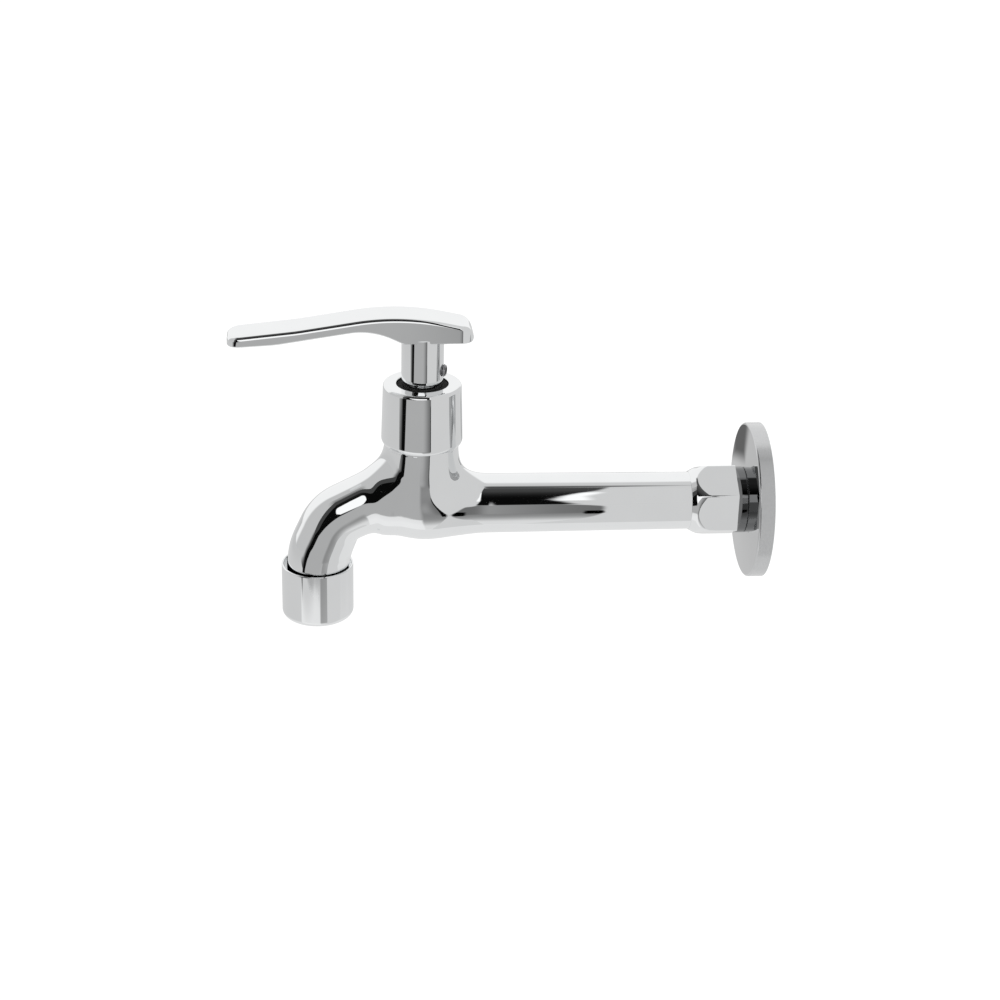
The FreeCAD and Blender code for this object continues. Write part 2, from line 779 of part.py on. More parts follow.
def make_lever_handle():
    body = new_body("lever_handle")
    at_valve(body)
    profile = new_sketch(body, "side", "YZ_Plane")
    draw(profile, [
        (-s.lever_tip_reach, s.lever_tip_underside),
        (-s.lever_under_sweep_reach, s.lever_under_sweep_height, s.lever_under_sweep_rounding),
        (-s.lever_throat_reach, s.lever_throat_height, s.lever_throat_rounding),
        (-s.hub_radius + s.lever_root_inset, s.lever_underside),
        (s.lever_back_reach, s.lever_underside),
        (s.lever_back_reach, s.lever_back_height, s.lever_back_rounding),
        (-s.lever_crown_reach, s.lever_crown_height, s.lever_crown_rounding),
        (-s.lever_sweep_reach, s.lever_sweep_height, s.lever_sweep_rounding),
        (-s.lever_tip_reach, s.lever_tip_underside + s.lever_tip_thickness),
    ])
    raised(body, "side", profile, s.lever_width, both_ways=True)
    outline = new_sketch(body, "outline", "XY_Plane", s.lever_underside / 2)
    half_width = s.lever_width / 2
    margin = s.lever_corner_radius
    corner = s.lever_corner_radius
    draw(outline, rectangle(-half_width - margin, -s.lever_tip_reach - margin,
                            half_width + margin, s.lever_back_reach + margin))
    draw(outline, [
        (-half_width, -s.lever_tip_reach, corner),
        (half_width, -s.lever_tip_reach, corner),
        (half_width, s.lever_back_reach, corner),
        (-half_width, s.lever_back_reach, corner),
    ])
    sunk(body, "outline", outline, s.lever_crown_height, up=True)
    hub = new_sketch(body, "hub", "XY_Plane", s.hub_bottom)
    draw_circle(hub, (0, 0), s.hub_radius)
    raised(body, "hub", hub, s.lever_underside - s.hub_bottom + s.lever_root_overlap)
    bush_room = s.bush_radius + s.running_clearance
    bush_top = s.spline_top + s.seat_clearance
    turned(body, "socket", [
        (0, s.hub_bottom),
        (bush_room, s.hub_bottom),
        (bush_room, bush_top),
        (s.spindle_tip_radius + s.seat_clearance, bush_top),
        (s.spindle_tip_radius + s.seat_clearance, s.spindle_top + s.lever_socket_gap),
        (0, s.spindle_top + s.lever_socket_gap),
    ], cut=True)
    hole = new_sketch(body, "screw_hole", "XZ_Plane")
    aim_at_set_screw(hole)
    draw_circle(hole, (0, 0), s.set_screw_radius + s.screw_clearance)
    sunk(body, "screw_hole", hole, s.hub_radius + s.set_screw_stand)
    return body


def aim_at_set_screw(sketch):
    """Stand a sketch across the set screw's line, on the hub's axis."""
    turn = FreeCAD.Rotation(Vector(0, -1, 0), 1)
    sketch.AttachmentOffset = FreeCAD.Placement(Vector(0, 0, 0), turn)
    bind(sketch, "AttachmentOffset.Base.y", s.spindle_top - s.set_screw_drop)
    bind(sketch, "AttachmentOffset.Rotation.Angle", s.set_screw_turn)


def make_handle_set_screw():
    body = new_body("handle_set_screw")
    body.Placement = FreeCAD.Placement(Vector(0, 0, 0), FreeCAD.Rotation(Vector(0, 0, -1), 1))
    at_valve(body)
    bind(body, "Placement.Base.z", s.spindle_top - s.set_screw_drop)
    bind(body, "Placement.Rotation.Angle", s.set_screw_turn)
    outer_end = s.hub_radius + s.set_screw_stand
    inner_end = s.spindle_tip_radius + s.seat_clearance
    shank = new_sketch(body, "shank", "XZ_Plane", -outer_end)
    draw_circle(shank, (0, 0), s.set_screw_radius)
    raised(body, "shank", shank, outer_end - inner_end)
    socket = new_sketch(body, "socket", "XZ_Plane", -outer_end)
    draw(socket, hexagon(s.set_screw_socket_flats, turn=30))
    sunk(body, "socket", socket, s.set_screw_socket_depth, up=True)
    return body


def make_spline_bush():
    """A nylon bush whose teeth sit in the gaps of the spindle's splines."""
    body = new_body("spline_bush")
    at_valve(body)
    top = s.spline_top - s.bush_short
    bottom = s.hub_bottom + s.bush_inset
    bore = s.spline_radius + s.running_clearance
    turned(body, "ring", rectangle(bore, bottom, s.bush_radius, top))
    tooth = new_sketch(body, "tooth", "XY_Plane", s.spline_bottom + s.bush_inset)
    apex = s.spline_radius - s.spline_depth + s.seat_clearance
    root = bore + s.seat_clearance
    draw(tooth, [(apex, 0), (root, -s.spline_depth), (root, s.spline_depth)])
    teeth = raised(body, "tooth", tooth, top - s.spline_bottom - s.bush_inset)
    repeated(body, "tooth", teeth, SPLINE_TEETH)
    return body


# The aerator at the spout's end

def outlet_levels():
    """Heights of the pieces in the aerator, downwards."""
    levels = SimpleNamespace()
    levels.spigot_end = -s.spigot_bottom
    levels.flange_top = levels.spigot_end - s.gasket_thickness
    levels.ledge = levels.flange_top - s.insert_flange_thickness
    levels.shell_bottom = -s.shell_bottom
    levels.shell_top = levels.shell_bottom + s.shell_length
    levels.insert_bottom = levels.shell_bottom + s.insert_recess
    levels.plate_top = levels.ledge - s.jet_plate_drop
    levels.plate_bottom = levels.plate_top - s.jet_plate_thickness
    levels.grid_top = levels.insert_bottom + s.grid_thickness
    return levels


def make_aerator_shell():
    body = new_body("aerator_shell")
    at_outlet(body)
    level = outlet_levels()
    insert_room = s.insert_radius + s.seat_clearance
    flange_room = s.insert_flange_radius + s.seat_clearance
    thread_room = s.spigot_radius + s.screw_clearance
    thread_top = level.spigot_end + s.spigot_length
    turned(body, "shell", [
        (s.shell_mouth_radius, level.shell_top),
        (s.shell_radius, level.shell_top, s.shell_rim_rounding),
        (s.shell_radius, level.shell_bottom, s.shell_bottom_rounding),
        (insert_room, level.shell_bottom),
        (insert_room, level.ledge),
        (flange_room, level.ledge),
        (flange_room, level.spigot_end),
        (thread_room, level.spigot_end),
        (thread_room, thread_top),
        (s.shell_mouth_radius, thread_top),
    ])
    return body


def make_aerator_housing():
    body = new_body("aerator_housing")
    at_outlet(body)
    level = outlet_levels()
    plate_room = s.insert_radius - s.insert_wall
    outlet_room = plate_room - s.insert_ledge
    turned(body, "cup", [
        (plate_room, level.flange_top),
        (s.insert_flange_radius, level.flange_top),
        (s.insert_flange_radius, level.ledge),
        (s.insert_radius, level.ledge),
        (s.insert_radius, level.insert_bottom),
        (outlet_room, level.insert_bottom),
        (outlet_room, level.plate_bottom),
        (plate_room, level.plate_bottom),
    ])
    return body


def make_jet_plate():
    body = new_body("jet_plate")
    at_outlet(body)
    level = outlet_levels()
    radius = s.insert_radius - s.insert_wall - s.seat_clearance
    turned(body, "plate", rectangle(0, level.plate_bottom, radius, level.plate_top))
    rings = {"inner": (s.jet_ring_inner, INNER_JET_HOLES), "outer": (s.jet_ring_outer, OUTER_JET_HOLES)}
    for name, (pitch, count) in rings.items():
        ring_of_holes(body, name, level.plate_top, s.jet_plate_thickness, pitch, s.jet_hole_radius, count)
    return body


def make_aerator_strainer():
    """A cone with holes all round, standing on the jet plate."""
    body = new_body("aerator_strainer")
    at_outlet(body)
    level = outlet_levels()
    radius = s.insert_radius - s.insert_wall - s.seat_clearance
    rim_top = level.plate_top + s.strainer_rim_height
    top = level.plate_top + s.strainer_height
    cone_radius = s.spigot_bore_radius - s.strainer_cone_gap
    turned(body, "cone", [
        (cone_radius - s.strainer_wall, level.plate_top),
        (radius, level.plate_top),
        (radius, rim_top),
        (cone_radius, rim_top),
        (s.strainer_top_radius, top),
        (0, top),
        (0, top - s.strainer_wall),
        (s.strainer_top_radius - s.strainer_wall / 2, top - s.strainer_wall),
        (cone_radius - s.strainer_wall, rim_top - s.strainer_wall / 2),
    ])
    middle = (cone_radius + s.strainer_top_radius) / 2
    ring_of_holes(body, "cone_holes", top, s.strainer_height - s.strainer_rim_height, middle,
                  s.strainer_hole_radius, STRAINER_HOLES)
    ring_of_holes(body, "top_holes", top, s.strainer_wall, s.strainer_top_radius / 2,
                  s.strainer_hole_radius, STRAINER_HOLES // 2)
    return body


def make_perforated_disc(label, bottom, thickness, radius, step, hole_radius):
    """A thin round plate with three rings of holes round a middle one."""
    body = new_body(label)
    at_outlet(body)
    top = bottom + thickness
    turned(body, "plate", rectangle(0, bottom, radius, top))
    middle = new_sketch(body, "middle_hole", "XY_Plane", top)
    draw_circle(middle, (0, 0), hole_radius)
    sunk(body, "middle_hole", middle, thickness)
    for ring in range(1, HOLE_RINGS + 1):
        ring_of_holes(body, f"ring_{ring}", top, thickness, step * ring, hole_radius, HOLES_PER_RING * ring)
    return body


def make_aerator_screens():
    """Two fine screens, one over the other, on the outlet grid."""
    level = outlet_levels()
    radius = s.insert_radius - s.insert_wall - s.insert_ledge - s.seat_clearance
    screens = []
    for index, name in enumerate(("lower", "upper")):
        bottom = level.grid_top + (s.screen_thickness + s.screen_spacing) * index
        screens.append(make_perforated_disc(f"{name}_screen", bottom, s.screen_thickness, radius,
                                            s.screen_hole_step, s.screen_hole_radius))
    pair = doc.addObject("Part::Compound", "aerator_screens")
    pair.Links = screens
    pair.Label = "aerator_screens"
    return pair


def make_outlet_grid():
    level = outlet_levels()
    radius = s.insert_radius - s.insert_wall - s.insert_ledge - s.seat_clearance
    return make_perforated_disc("outlet_grid", level.insert_bottom, s.grid_thickness, radius,
                                s.grid_hole_step, s.grid_hole_radius)


def make_aerator():
    level = outlet_levels()
    make_aerator_shell()
    at_outlet(washer("aerator_gasket", s.gasket_inner_radius, s.insert_flange_radius - s.seat_clearance,
                     level.flange_top, level.spigot_end))
    make_aerator_housing()
    make_jet_plate()
    make_aerator_strainer()
    make_aerator_screens()
    make_outlet_grid()


NODES = [
    "tap_body", "wall_flange", "bonnet_cap",
    "cartridge_housing", "housing_washer", "spindle", "spindle_o_rings", "thrust_washer",
    "retaining_clip", "moving_disc", "fixed_disc", "disc_seal",
    "lever_handle", "handle_set_screw", "spline_bush",
    "aerator_shell", "aerator_gasket", "aerator_housing", "jet_plate", "aerator_strainer",
    "aerator_screens", "outlet_grid",
]


def check_document():
    """Stop if anything in the document failed to build."""
    for item in doc.Objects:
        if "Invalid" in item.State or "Error" in item.State:
            raise RuntimeError(f"{item.Name} ({item.Label}) did not build: {item.State}")
    for label in NODES:
        shape = doc.getObjectsByLabel(label)[0].Shape
        if shape.isNull() or not shape.isValid() or not shape.Solids:
            raise RuntimeError(f"{label} is not a valid solid")


def main():
    make_tap_body()
    make_wall_flange()
    make_bonnet_cap()
    make_headwork()
    make_lever_handle()
    make_handle_set_screw()
    make_spline_bush()
    make_aerator()
    doc.recompute()
    check_document()
    os.makedirs("parts", exist_ok=True)
    for label in NODES:
        node = doc.getObjectsByLabel(label)[0]
        node.Shape.exportStep(f"parts/{label}.step")
        print(label, len(node.Shape.Solids), round(node.Shape.Volume, 1))


main()
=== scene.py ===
"""The polished pieces and finishes of a wall sink tap, dressed on its CAD frame.

The script is laid out as an add-on: sizes and colours are properties, and each
group of pieces has its operator. Lengths are in metres, but settings are given in
millimetres. The frame's origin is on the inlet axis in the plane of the wall, +Y
points into the wall and +Z up.
"""
import math

import bmesh
import bpy
import numpy as np
from mathutils import Matrix, Vector


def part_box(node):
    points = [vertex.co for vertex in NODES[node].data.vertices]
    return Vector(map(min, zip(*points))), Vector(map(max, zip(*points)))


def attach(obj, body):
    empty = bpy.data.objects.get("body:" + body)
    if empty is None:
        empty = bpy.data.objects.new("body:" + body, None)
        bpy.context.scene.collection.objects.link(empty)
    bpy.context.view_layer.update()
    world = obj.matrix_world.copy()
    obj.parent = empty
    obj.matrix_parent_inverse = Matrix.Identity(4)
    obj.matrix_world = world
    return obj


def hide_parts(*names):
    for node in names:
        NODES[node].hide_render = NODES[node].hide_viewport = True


bl_info = {
    "name": "Wall Sink Tap",
    "version": (1, 0, 0),
    "blender": (4, 5, 0),
    "location": "3D View > Sidebar > Sink Tap",
    "description": "Builds the polished pieces and finishes of a wall sink tap on its CAD frame",
    "category": "Add Mesh",
}

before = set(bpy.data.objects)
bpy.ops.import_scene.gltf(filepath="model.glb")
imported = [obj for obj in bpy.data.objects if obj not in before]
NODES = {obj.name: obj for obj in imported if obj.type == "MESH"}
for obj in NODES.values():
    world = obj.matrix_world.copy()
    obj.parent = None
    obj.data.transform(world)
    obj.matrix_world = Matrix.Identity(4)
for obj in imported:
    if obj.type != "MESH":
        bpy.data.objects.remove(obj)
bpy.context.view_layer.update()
MM = 0.001
WELD = 0.01 * MM

CAP_LOW, CAP_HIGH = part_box("bonnet_cap")
SHELL_LOW, SHELL_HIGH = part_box("aerator_shell")
FLANGE_LOW, FLANGE_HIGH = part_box("wall_flange")
LEVER_LOW, LEVER_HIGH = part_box("lever_handle")
BODY_LOW, BODY_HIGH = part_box("tap_body")
SCREW_LOW, SCREW_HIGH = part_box("handle_set_screw")
VALVE = Vector((0, (CAP_LOW.y + CAP_HIGH.y) / 2, 0))
OUTLET = Vector((0, (SHELL_LOW.y + SHELL_HIGH.y) / 2, 0))
SMOOTH_ANGLE = math.radians(35)
FINE_SEGMENTS = 256
# The roundings of small edges, and how far one form runs past another that cuts or holds it
EDGE, FINE_EDGE = 0.3 * MM, 0.15 * MM
OVERLAP = 1.0 * MM


def length(name, description, default):
    """A length that a user may change, given in millimetres and kept in metres."""
    return bpy.props.FloatProperty(name=name, description=description, default=default * MM,
                                   unit="LENGTH", subtype="DISTANCE", precision=5)


def angle(name, description, default):
    """An angle that a user may change, given in degrees."""
    return bpy.props.FloatProperty(name=name, description=description,
                                   default=math.radians(default), unit="ROTATION", subtype="ANGLE")


def light_level(name, description, default):
    """A strength of light that a user may change, where 1 is white."""
    return bpy.props.FloatProperty(name=name, description=description, default=default,
                                   min=0, subtype="FACTOR", soft_max=1)


def colour(name, description, default):
    """A colour that a user may change."""
    return bpy.props.FloatVectorProperty(name=name, description=description, default=default,
                                         size=3, min=0, max=1, subtype="COLOR")


class CastingSizes(bpy.types.PropertyGroup):
    """Sizes of the tap's cast body, from the valve axis and the inlet axis."""
    neck_radius: length("Neck Radius", "Radius of the upright valve neck", 12.75)
    neck_top: length("Neck Top", "Height of the neck's top, inside the cap", 24.0)
    neck_drop: length("Neck Drop", "Depth of the neck's rounded bottom", 9.5)
    neck_rounding: length("Neck Rounding", "Rounding of the neck's bottom", 9.0)
    neck_waist: length("Neck Waist", "How much narrower the neck is where it joins the belly", 1.7)
    waist_height: length(
        "Waist Height", "Height above the inlet axis where the neck starts to narrow", 13.0)
    belly_radius: length("Belly Radius", "Radius where the belly's two slopes would meet", 12.8)
    belly_end_reach: length("Belly End Reach", "How far the belly runs on under the spout", 15.0)
    belly_end_radius: length("Belly End Radius", "Radius of the belly where it ends", 9.15)
    belly_softness: length("Belly Softness", "Length over which the belly's slopes turn", 9.8)
    barrel_reach: length("Barrel Reach", "Where the belly passes into the barrel", 20.4)
    barrel_radius: length("Barrel Radius", "Radius of the barrel beside the belly", 10.56)
    barrel_softness: length("Barrel Softness", "Length over which belly turns into barrel", 4.0)
    barrel_wall_radius: length(
        "Barrel Wall Radius", "Radius of the barrel beside the hexagon", 10.18)
    spout_radius: length("Spout Radius", "Radius of the spout's tube at its outlet", 11.1)
    spout_root_radius: length(
        "Spout Root Radius", "Radius of the spout's tube beside the neck", 9.8)
    spout_blend: length("Spout Blend", "Size of the soft seam round the spout", 14.0)
    barrel_blend: length("Barrel Blend", "Size of the soft seam between neck and barrel", 8.5)
    seam_limit: length("Seam Limit", "The most that a soft seam may reach", 15.0)
    front_blend: length("Front Blend", "Softness where two forms run side by side", 6.0)
    spigot_radius: length("Spigot Radius", "Radius of the threaded spigot in the aerator", 11.0)
    spigot_length: length("Spigot Length", "Length of the spigot", 7.4)
    spigot_bottom: length(
        "Spigot Bottom", "How far the spigot's end hangs below the inlet axis", 33.0)
    spigot_bore: length("Spigot Bore", "Radius of the spigot's bore", 8.2)
    spigot_rounding: length("Spigot Rounding", "Rounding of the spigot's lower end", 0.5)
    skin_cell: length("Skin Cell", "Size of the faces of the casting's skin", 0.8)


class InletSizes(bpy.types.PropertyGroup):
    """Sizes of the hexagon and the threaded tail."""
    across_flats: length("Across Flats", "Width of the hexagon across its flats", 23.3)
    collar_gap: length("Gap to Wall", "Distance from the collar's back to the wall", 6.3)
    collar_length: length("Collar Length", "Length of the round collar behind the hexagon", 3.5)
    collar_radius: length("Collar Radius", "Radius of that collar", 11.75)
    hexagon_length: length("Hexagon Length", "Length of the hexagon with its domed front", 16.3)
    dome_radius: length("Dome Radius", "Radius of the domed front where it starts", 10.4)
    shoulder_radius: length("Shoulder Radius", "Radius where the dome's steep start ends", 11.3)
    shoulder_rounding: length("Shoulder Rounding", "Rounding at that radius", 2.0)
    shoulder_length: length("Shoulder Length", "Length of the dome's steep start", 1.6)
    dome_length: length("Dome Length", "Length of the dome up to the hexagon's full corners", 9.2)
    edge_rounding: length("Edge Rounding", "Rounding of the hexagon's edges", 0.7)
    thread_radius: length("Thread Radius", "Radius over the thread's crests", 10.48)
    thread_pitch: length("Thread Pitch", "Distance from one crest of the thread to the next", 1.814)
    thread_depth: length("Thread Depth", "Depth of the thread", 0.9)
    relief_length: length("Relief Length", "Length of the groove behind the hexagon", 1.9)
    bore_radius: length("Bore Radius", "Radius of the inlet bore", 6.0)


class FlangeSizes(bpy.types.PropertyGroup):
    """Sizes of the wall flange."""
    radius: length("Radius", "Outer radius of the flange", FLANGE_HIGH.x / MM)
    rim_depth: length("Rim Depth", "How far the rim stands out from the wall", 5.5)
    sheet: length("Sheet", "Thickness of the pressed sheet", 1.0)
    rim_rounding: length("Rim Rounding", "Rounding between face and rim", 0.8)
    hole_radius: length("Hole Radius", "Radius of the middle hole", 10.88)


class CapSizes(bpy.types.PropertyGroup):
    """Sizes of the round cap over the valve."""
    bottom_radius: length("Bottom Radius", "Radius at the bottom", CAP_HIGH.x / MM)
    top_radius: length("Top Radius", "Radius at the top", 13.6)
    hole_radius: length("Hole Radius", "Radius of the hole round the handle's hub", 9.0)
    top_rounding: length("Top Rounding", "Rounding of the top edge", 1.3)
    bottom_rounding: length("Bottom Rounding", "Rounding of the bottom edge", 2.2)
    bottom_lift: length("Bottom Lift", "How far the bottom edge is set up", 0.9)
    hole_rounding: length("Hole Rounding", "Rounding of the hole's edge", 0.35)
    top_wall: length("Top Wall", "Thickness of the top", 2.8)
    wall: length("Wall", "Thickness of the side", 1.4)
    skirt_radius: length("Skirt Radius", "Radius inside the skirt", 13.2)


class LeverSizes(bpy.types.PropertyGroup):
    """Sizes of the lever, along from the valve axis and up from the inlet axis."""
    width: length("Width", "Width of the lever", 14.0)
    tip_reach: length(
        "Tip Reach", "Distance of the tip from the valve axis", (VALVE.y - LEVER_LOW.y) / MM)
    tip_underside: length("Tip Underside", "Height of the tip's underside", 61.5)
    tip_thickness: length("Tip Thickness", "Thickness of the tip", 3.45)
    back_reach: length(
        "Back Reach", "Distance of the back end from the valve axis",
        (LEVER_HIGH.y - VALVE.y) / MM - 0.5)
    back_height: length("Back Height", "Height of the back end's top corner", 67.9)
    back_rounding: length("Back Rounding", "Rounding of that corner", 4.9)
    heel_rounding: length("Heel Rounding", "Rounding of the back end's lower corner", 1.0)
    underside: length("Underside", "Height of the flat underside round the hub", 62.6)
    corner_radius: length("Corner Radius", "Rounding of the corners seen from above", 4.6)
    top_rounding: length("Top Edge Rounding", "Rounding of the upper edges", 1.55)
    under_rounding: length("Lower Edge Rounding", "Rounding of the lower edges", 0.5)
    hub_radius: length("Hub Radius", "Radius of the hub", 7.3)
    hub_bottom: length("Hub Bottom", "Height of the hub's lower end", LEVER_LOW.z / MM)
    hub_step: length("Hub Step", "Height of the hub's bevel above the cap", 1.0)
    hub_bevel: length("Hub Bevel", "Height of the bevel round the hub's lower end", 1.5)
    hub_foot: length("Hub Foot", "Radius of the hub below the bevel", 6.7)
    hub_ledge: length("Hub Ledge", "Width of the flat ledge at the bevel's foot", 0.35)
    socket_depth: length("Socket Depth", "Depth of the socket in the hub", 9.0)
    # The dust seal's sizes below set a black ring in the gap round the hub's foot, where it stands
    # in for the shade in that gap: painted shade
    shade_ring_gap: length("Seal Gap", "Gap between the hub's foot and the dust seal", 0.15)
    shade_ring_bottom: length(
        "Seal Bottom", "How far the seal's lower face lies below the cap's top", 2.2)
    shade_ring_top: length("Seal Top", "How far the seal's upper face lies below the cap's top", 0.7)
    shade_ring_radius: length("Seal Radius", "Radius of the dust seal round the hub's foot", 8.9)
    bush_radius: length("Bush Radius", "Radius of the socket in the hub", 5.4)
    screw_turn: angle("Screw Turn", "How far round the set screw is from the barrel", 17.0)
    screw_radius: length("Screw Radius", "Radius of the set screw", 2.2)
    screw_reach: length(
        "Screw Reach", "Distance of the set screw's outer end from the hub's axis", 8.3)
    screw_lift: length("Screw Lift", "How far the set screw's seen end is set up", 0.35)
    screw_inner: length("Screw Inner End", "Distance of its inner end from the hub's axis", 3.5)
    screw_flank: length("Screw Flank", "Height and length of a flank of its thread", 0.35)
    screw_plain: length("Screw Plain End", "Length of its outer end without thread", 0.9)
    screw_rounding: length("Screw Rounding", "Rounding of its outer end", 0.2)
    screw_socket_depth: length("Screw Socket Depth", "Depth of its hexagonal socket", 1.8)
    screw_socket: length("Screw Socket", "Width of its hexagonal socket across flats", 2.5)


class AeratorSizes(bpy.types.PropertyGroup):
    """Sizes of the aerator's shell."""
    radius: length("Radius", "Outer radius of the shell", SHELL_HIGH.x / MM)
    mouth_radius: length("Mouth Radius", "Radius inside the upper rim", 12.0)
    thread_radius: length("Thread Radius", "Radius of the threaded part inside", 11.05)
    insert_radius: length("Insert Radius", "Radius of the lower opening", 9.8)
    bottom_rounding: length("Bottom Rounding", "Rounding of the lower edge", 2.2)
    rim_rounding: length("Rim Rounding", "Rounding of the upper rim", 0.35)
    ledge_drop: length("Ledge Drop", "How far the ledge inside lies below the spigot's end", 3.2)


class FinishColours(bpy.types.PropertyGroup):
    """Colours of the finishes."""
    chrome: colour("Chrome", "Bright chrome plate", (0.86, 0.87, 0.875))
    thin_chrome: colour(
        "Thin Chrome", "Duller chrome on the flange's pressed sheet", (0.59, 0.595, 0.6))
    # Painted shade: the collar's dark chrome below darkens the collar in the recess between hexagon
    # and flange, standing in for the shade there
    dark_chrome: colour(
        "Dark Chrome", "Dark plate of the collar behind the hexagon", (0.2, 0.203, 0.206))
    brass: colour("Brass", "Turned brass inside", (0.76, 0.6, 0.3))
    steel: colour("Steel", "Plain stainless steel", (0.6, 0.6, 0.59))
    black_steel: colour("Black Steel", "Blackened steel of the set screw", (0.3, 0.3, 0.31))
    ceramic: colour("Ceramic", "Lapped ceramic discs", (0.93, 0.92, 0.88))
    rubber: colour("Rubber", "Black rubber rings", (0.008, 0.008, 0.008))
    fibre: colour("Fibre", "Pressed fibre washer", (0.45, 0.12, 0.08))
    nylon: colour("Nylon", "White nylon", (0.88, 0.88, 0.85))
    insert: colour(
        "Aerator Plastic", "Grey moulded plastic of the aerator's insert", (0.75, 0.77, 0.78))


class StudioSettings(bpy.types.PropertyGroup):
    """The camera and the light."""
    camera_place: bpy.props.FloatVectorProperty(
        name="Camera Place", description="Where the camera stands", size=3, subtype="TRANSLATION",
        unit="LENGTH", default=(0.6930, -0.1577, 0.3242))
    camera_aim: bpy.props.FloatVectorProperty(
        name="Camera Aim", description="The point at the middle of the picture", size=3,
        subtype="TRANSLATION", unit="LENGTH", default=(0.0, -0.0933, 0.0010))
    camera_roll: angle("Camera Roll", "Turn of the camera about its line of sight", 1.496)
    lens: bpy.props.FloatProperty(
        name="Lens", description="Focal length in millimetres on a 36 mm sensor", default=77.98)
    card_distance: length(
        "Card Distance", "How far in front of the tap the reflected cards stand", 250.0)
    behind_distance: length(
        "Rear Card Distance", "How far behind the tap the rear card stands", 130.0)
    table_depth: length(
        "Table Depth", "How far the reflected table lies below the inlet axis", 600.0)
    floor_depth: length("Floor Depth", "How far the floor lies below the inlet axis", 620.0)
    floor_size: length("Floor Size", "Width of the floor", 12000.0)
    card_step: length("Card Step", "How much nearer each card stands than the one before", 0.5)
    floor_share: light_level(
        "Floor Shade", "How much of the light the floor's surface returns", 0.3)
    floor_glow: light_level("Floor Glow", "Light of the floor on plain surfaces", 0.5)
    floor_seen_glow: light_level(
        "Seen Floor Glow", "Light of the floor where it is seen or mirrored", 0.85)
    room_light: light_level("Room Light", "Light of the room all round", 0.69)
    left_light: light_level("Left Light", "Light of the room on the spout's side", 0.58)
    back_light: light_level("Back Light", "Light of the room behind the tap", 1.0)
    overhead_light: light_level("Overhead Light", "Light of the room overhead", 0.67)
    ceiling_light: light_level(
        "Ceiling Light", "Light of the dark ceiling on the camera's side", 0.081)


# Meshes

def bend(before, here, after, radius):
    """Where an arc in a corner starts and ends, its middle and half the corner's angle."""
    before, here, after = (Vector(corner[:2]) for corner in (before, here, after))
    back, ahead = (before - here).normalized(), (after - here).normalized()
    half = back.angle(ahead) / 2
    reach = radius / math.tan(half)
    middle = here + (back + ahead).normalized() * (radius / math.sin(half))
    return here + back * reach, here + ahead * reach, middle, half


def rounded(corners, arc_step=math.radians(5)):
    """A closed outline through corners (across, up), with an arc where a corner has a radius."""
    outline = []
    for index, corner in enumerate(corners):
        if len(corner) == 2:
            outline.append(Vector(corner))
            continue
        after = corners[(index + 1) % len(corners)]
        start, end, middle, half = bend(corners[index - 1], corner, after, corner[2])
        turn = math.copysign(math.pi - 2 * half, (start - middle).cross(end - middle))
        steps = max(2, math.ceil(abs(turn) / arc_step))
        for step in range(steps + 1):
            outline.append(middle + Matrix.Rotation(turn * step / steps, 2) @ (start - middle))
    return outline


def new_piece(name, mesh):
    """An object in the scene that holds this mesh."""
    piece = bpy.data.objects.new(name, mesh)
    bpy.context.scene.collection.objects.link(piece)
    return piece


def piece_from(name, form):
    """An object in the scene that holds this bmesh."""
    mesh = bpy.data.meshes.new(name)
    form.to_mesh(mesh)
    form.free()
    return new_piece(name, mesh)


def turned(corners, centre=(0, 0, 0), along_y=False, segments=192):
    """A bmesh of a closed outline (radius, along), turned round the Z or Y axis."""
    form = bmesh.new()
    ring = [form.verts.new((max(radius, 0.0), 0, along)) for radius, along in rounded(corners)]
    sides = [form.edges.new((ring[index - 1], ring[index])) for index in range(len(ring))]
    bmesh.ops.spin(form, geom=ring + sides, cent=(0, 0, 0), axis=(0, 0, 1), angle=2 * math.pi,
                   steps=segments, use_merge=True)
    bmesh.ops.remove_doubles(form, verts=form.verts, dist=1e-7)
    bmesh.ops.recalc_face_normals(form, faces=form.faces)
    if along_y:
        bmesh.ops.transform(form, matrix=Matrix.Rotation(-math.pi / 2, 4, "X"), verts=form.verts)
    bmesh.ops.translate(form, vec=centre, verts=form.verts)
    return form


def prism(corners, low, high):
    """A bmesh of an outline (x, y) raised from one height to another."""
    form = bmesh.new()
    base = form.faces.new([form.verts.new((x, y, low)) for x, y in corners])
    top = bmesh.ops.extrude_face_region(form, geom=[base])
    raised = [item for item in top["geom"] if isinstance(item, bmesh.types.BMVert)]
    bmesh.ops.translate(form, vec=(0, 0, high - low), verts=raised)
    bmesh.ops.recalc_face_normals(form, faces=form.faces)
    return form


def hexagon(across_flats, turn=0.0):
    """Six corners round the origin."""
    radius = across_flats / math.sqrt(3)
    turns = [turn + side * math.pi / 3 for side in range(6)]
    return [(radius * math.cos(turn), radius * math.sin(turn)) for turn in turns]


def rounded_hexagon(across_flats, rounding, turn):
    """The outline of a hexagon with rounded corners."""
    return [tuple(point) for point in
            rounded([(x, y, rounding) for x, y in hexagon(across_flats, turn)], math.radians(10))]


def combined(piece, form, how):
    """Join, cut or intersect a piece with a bmesh."""
    tool = piece_from(piece.name + "_tool", form)
    step = piece.modifiers.new("combine", "BOOLEAN")
    step.object = tool
    step.operation = how
    step.solver = "EXACT"
    ready = piece.evaluated_get(bpy.context.evaluated_depsgraph_get())
    piece.data = bpy.data.meshes.new_from_object(ready)
    piece.modifiers.clear()
    bpy.data.objects.remove(tool)
    form = bmesh.new()
    form.from_mesh(piece.data)
    bmesh.ops.remove_doubles(form, verts=form.verts, dist=WELD)
    bmesh.ops.dissolve_degenerate(form, dist=WELD, edges=form.edges)
    form.to_mesh(piece.data)
    form.free()


def polished(piece):
    """Smooth shading that keeps flat faces flat."""
    piece.data.shade_smooth()
    piece.data.set_sharp_from_angle(angle=SMOOTH_ANGLE)
    even = piece.modifiers.new("even", "WEIGHTED_NORMAL")
    even.keep_sharp = True
    return piece


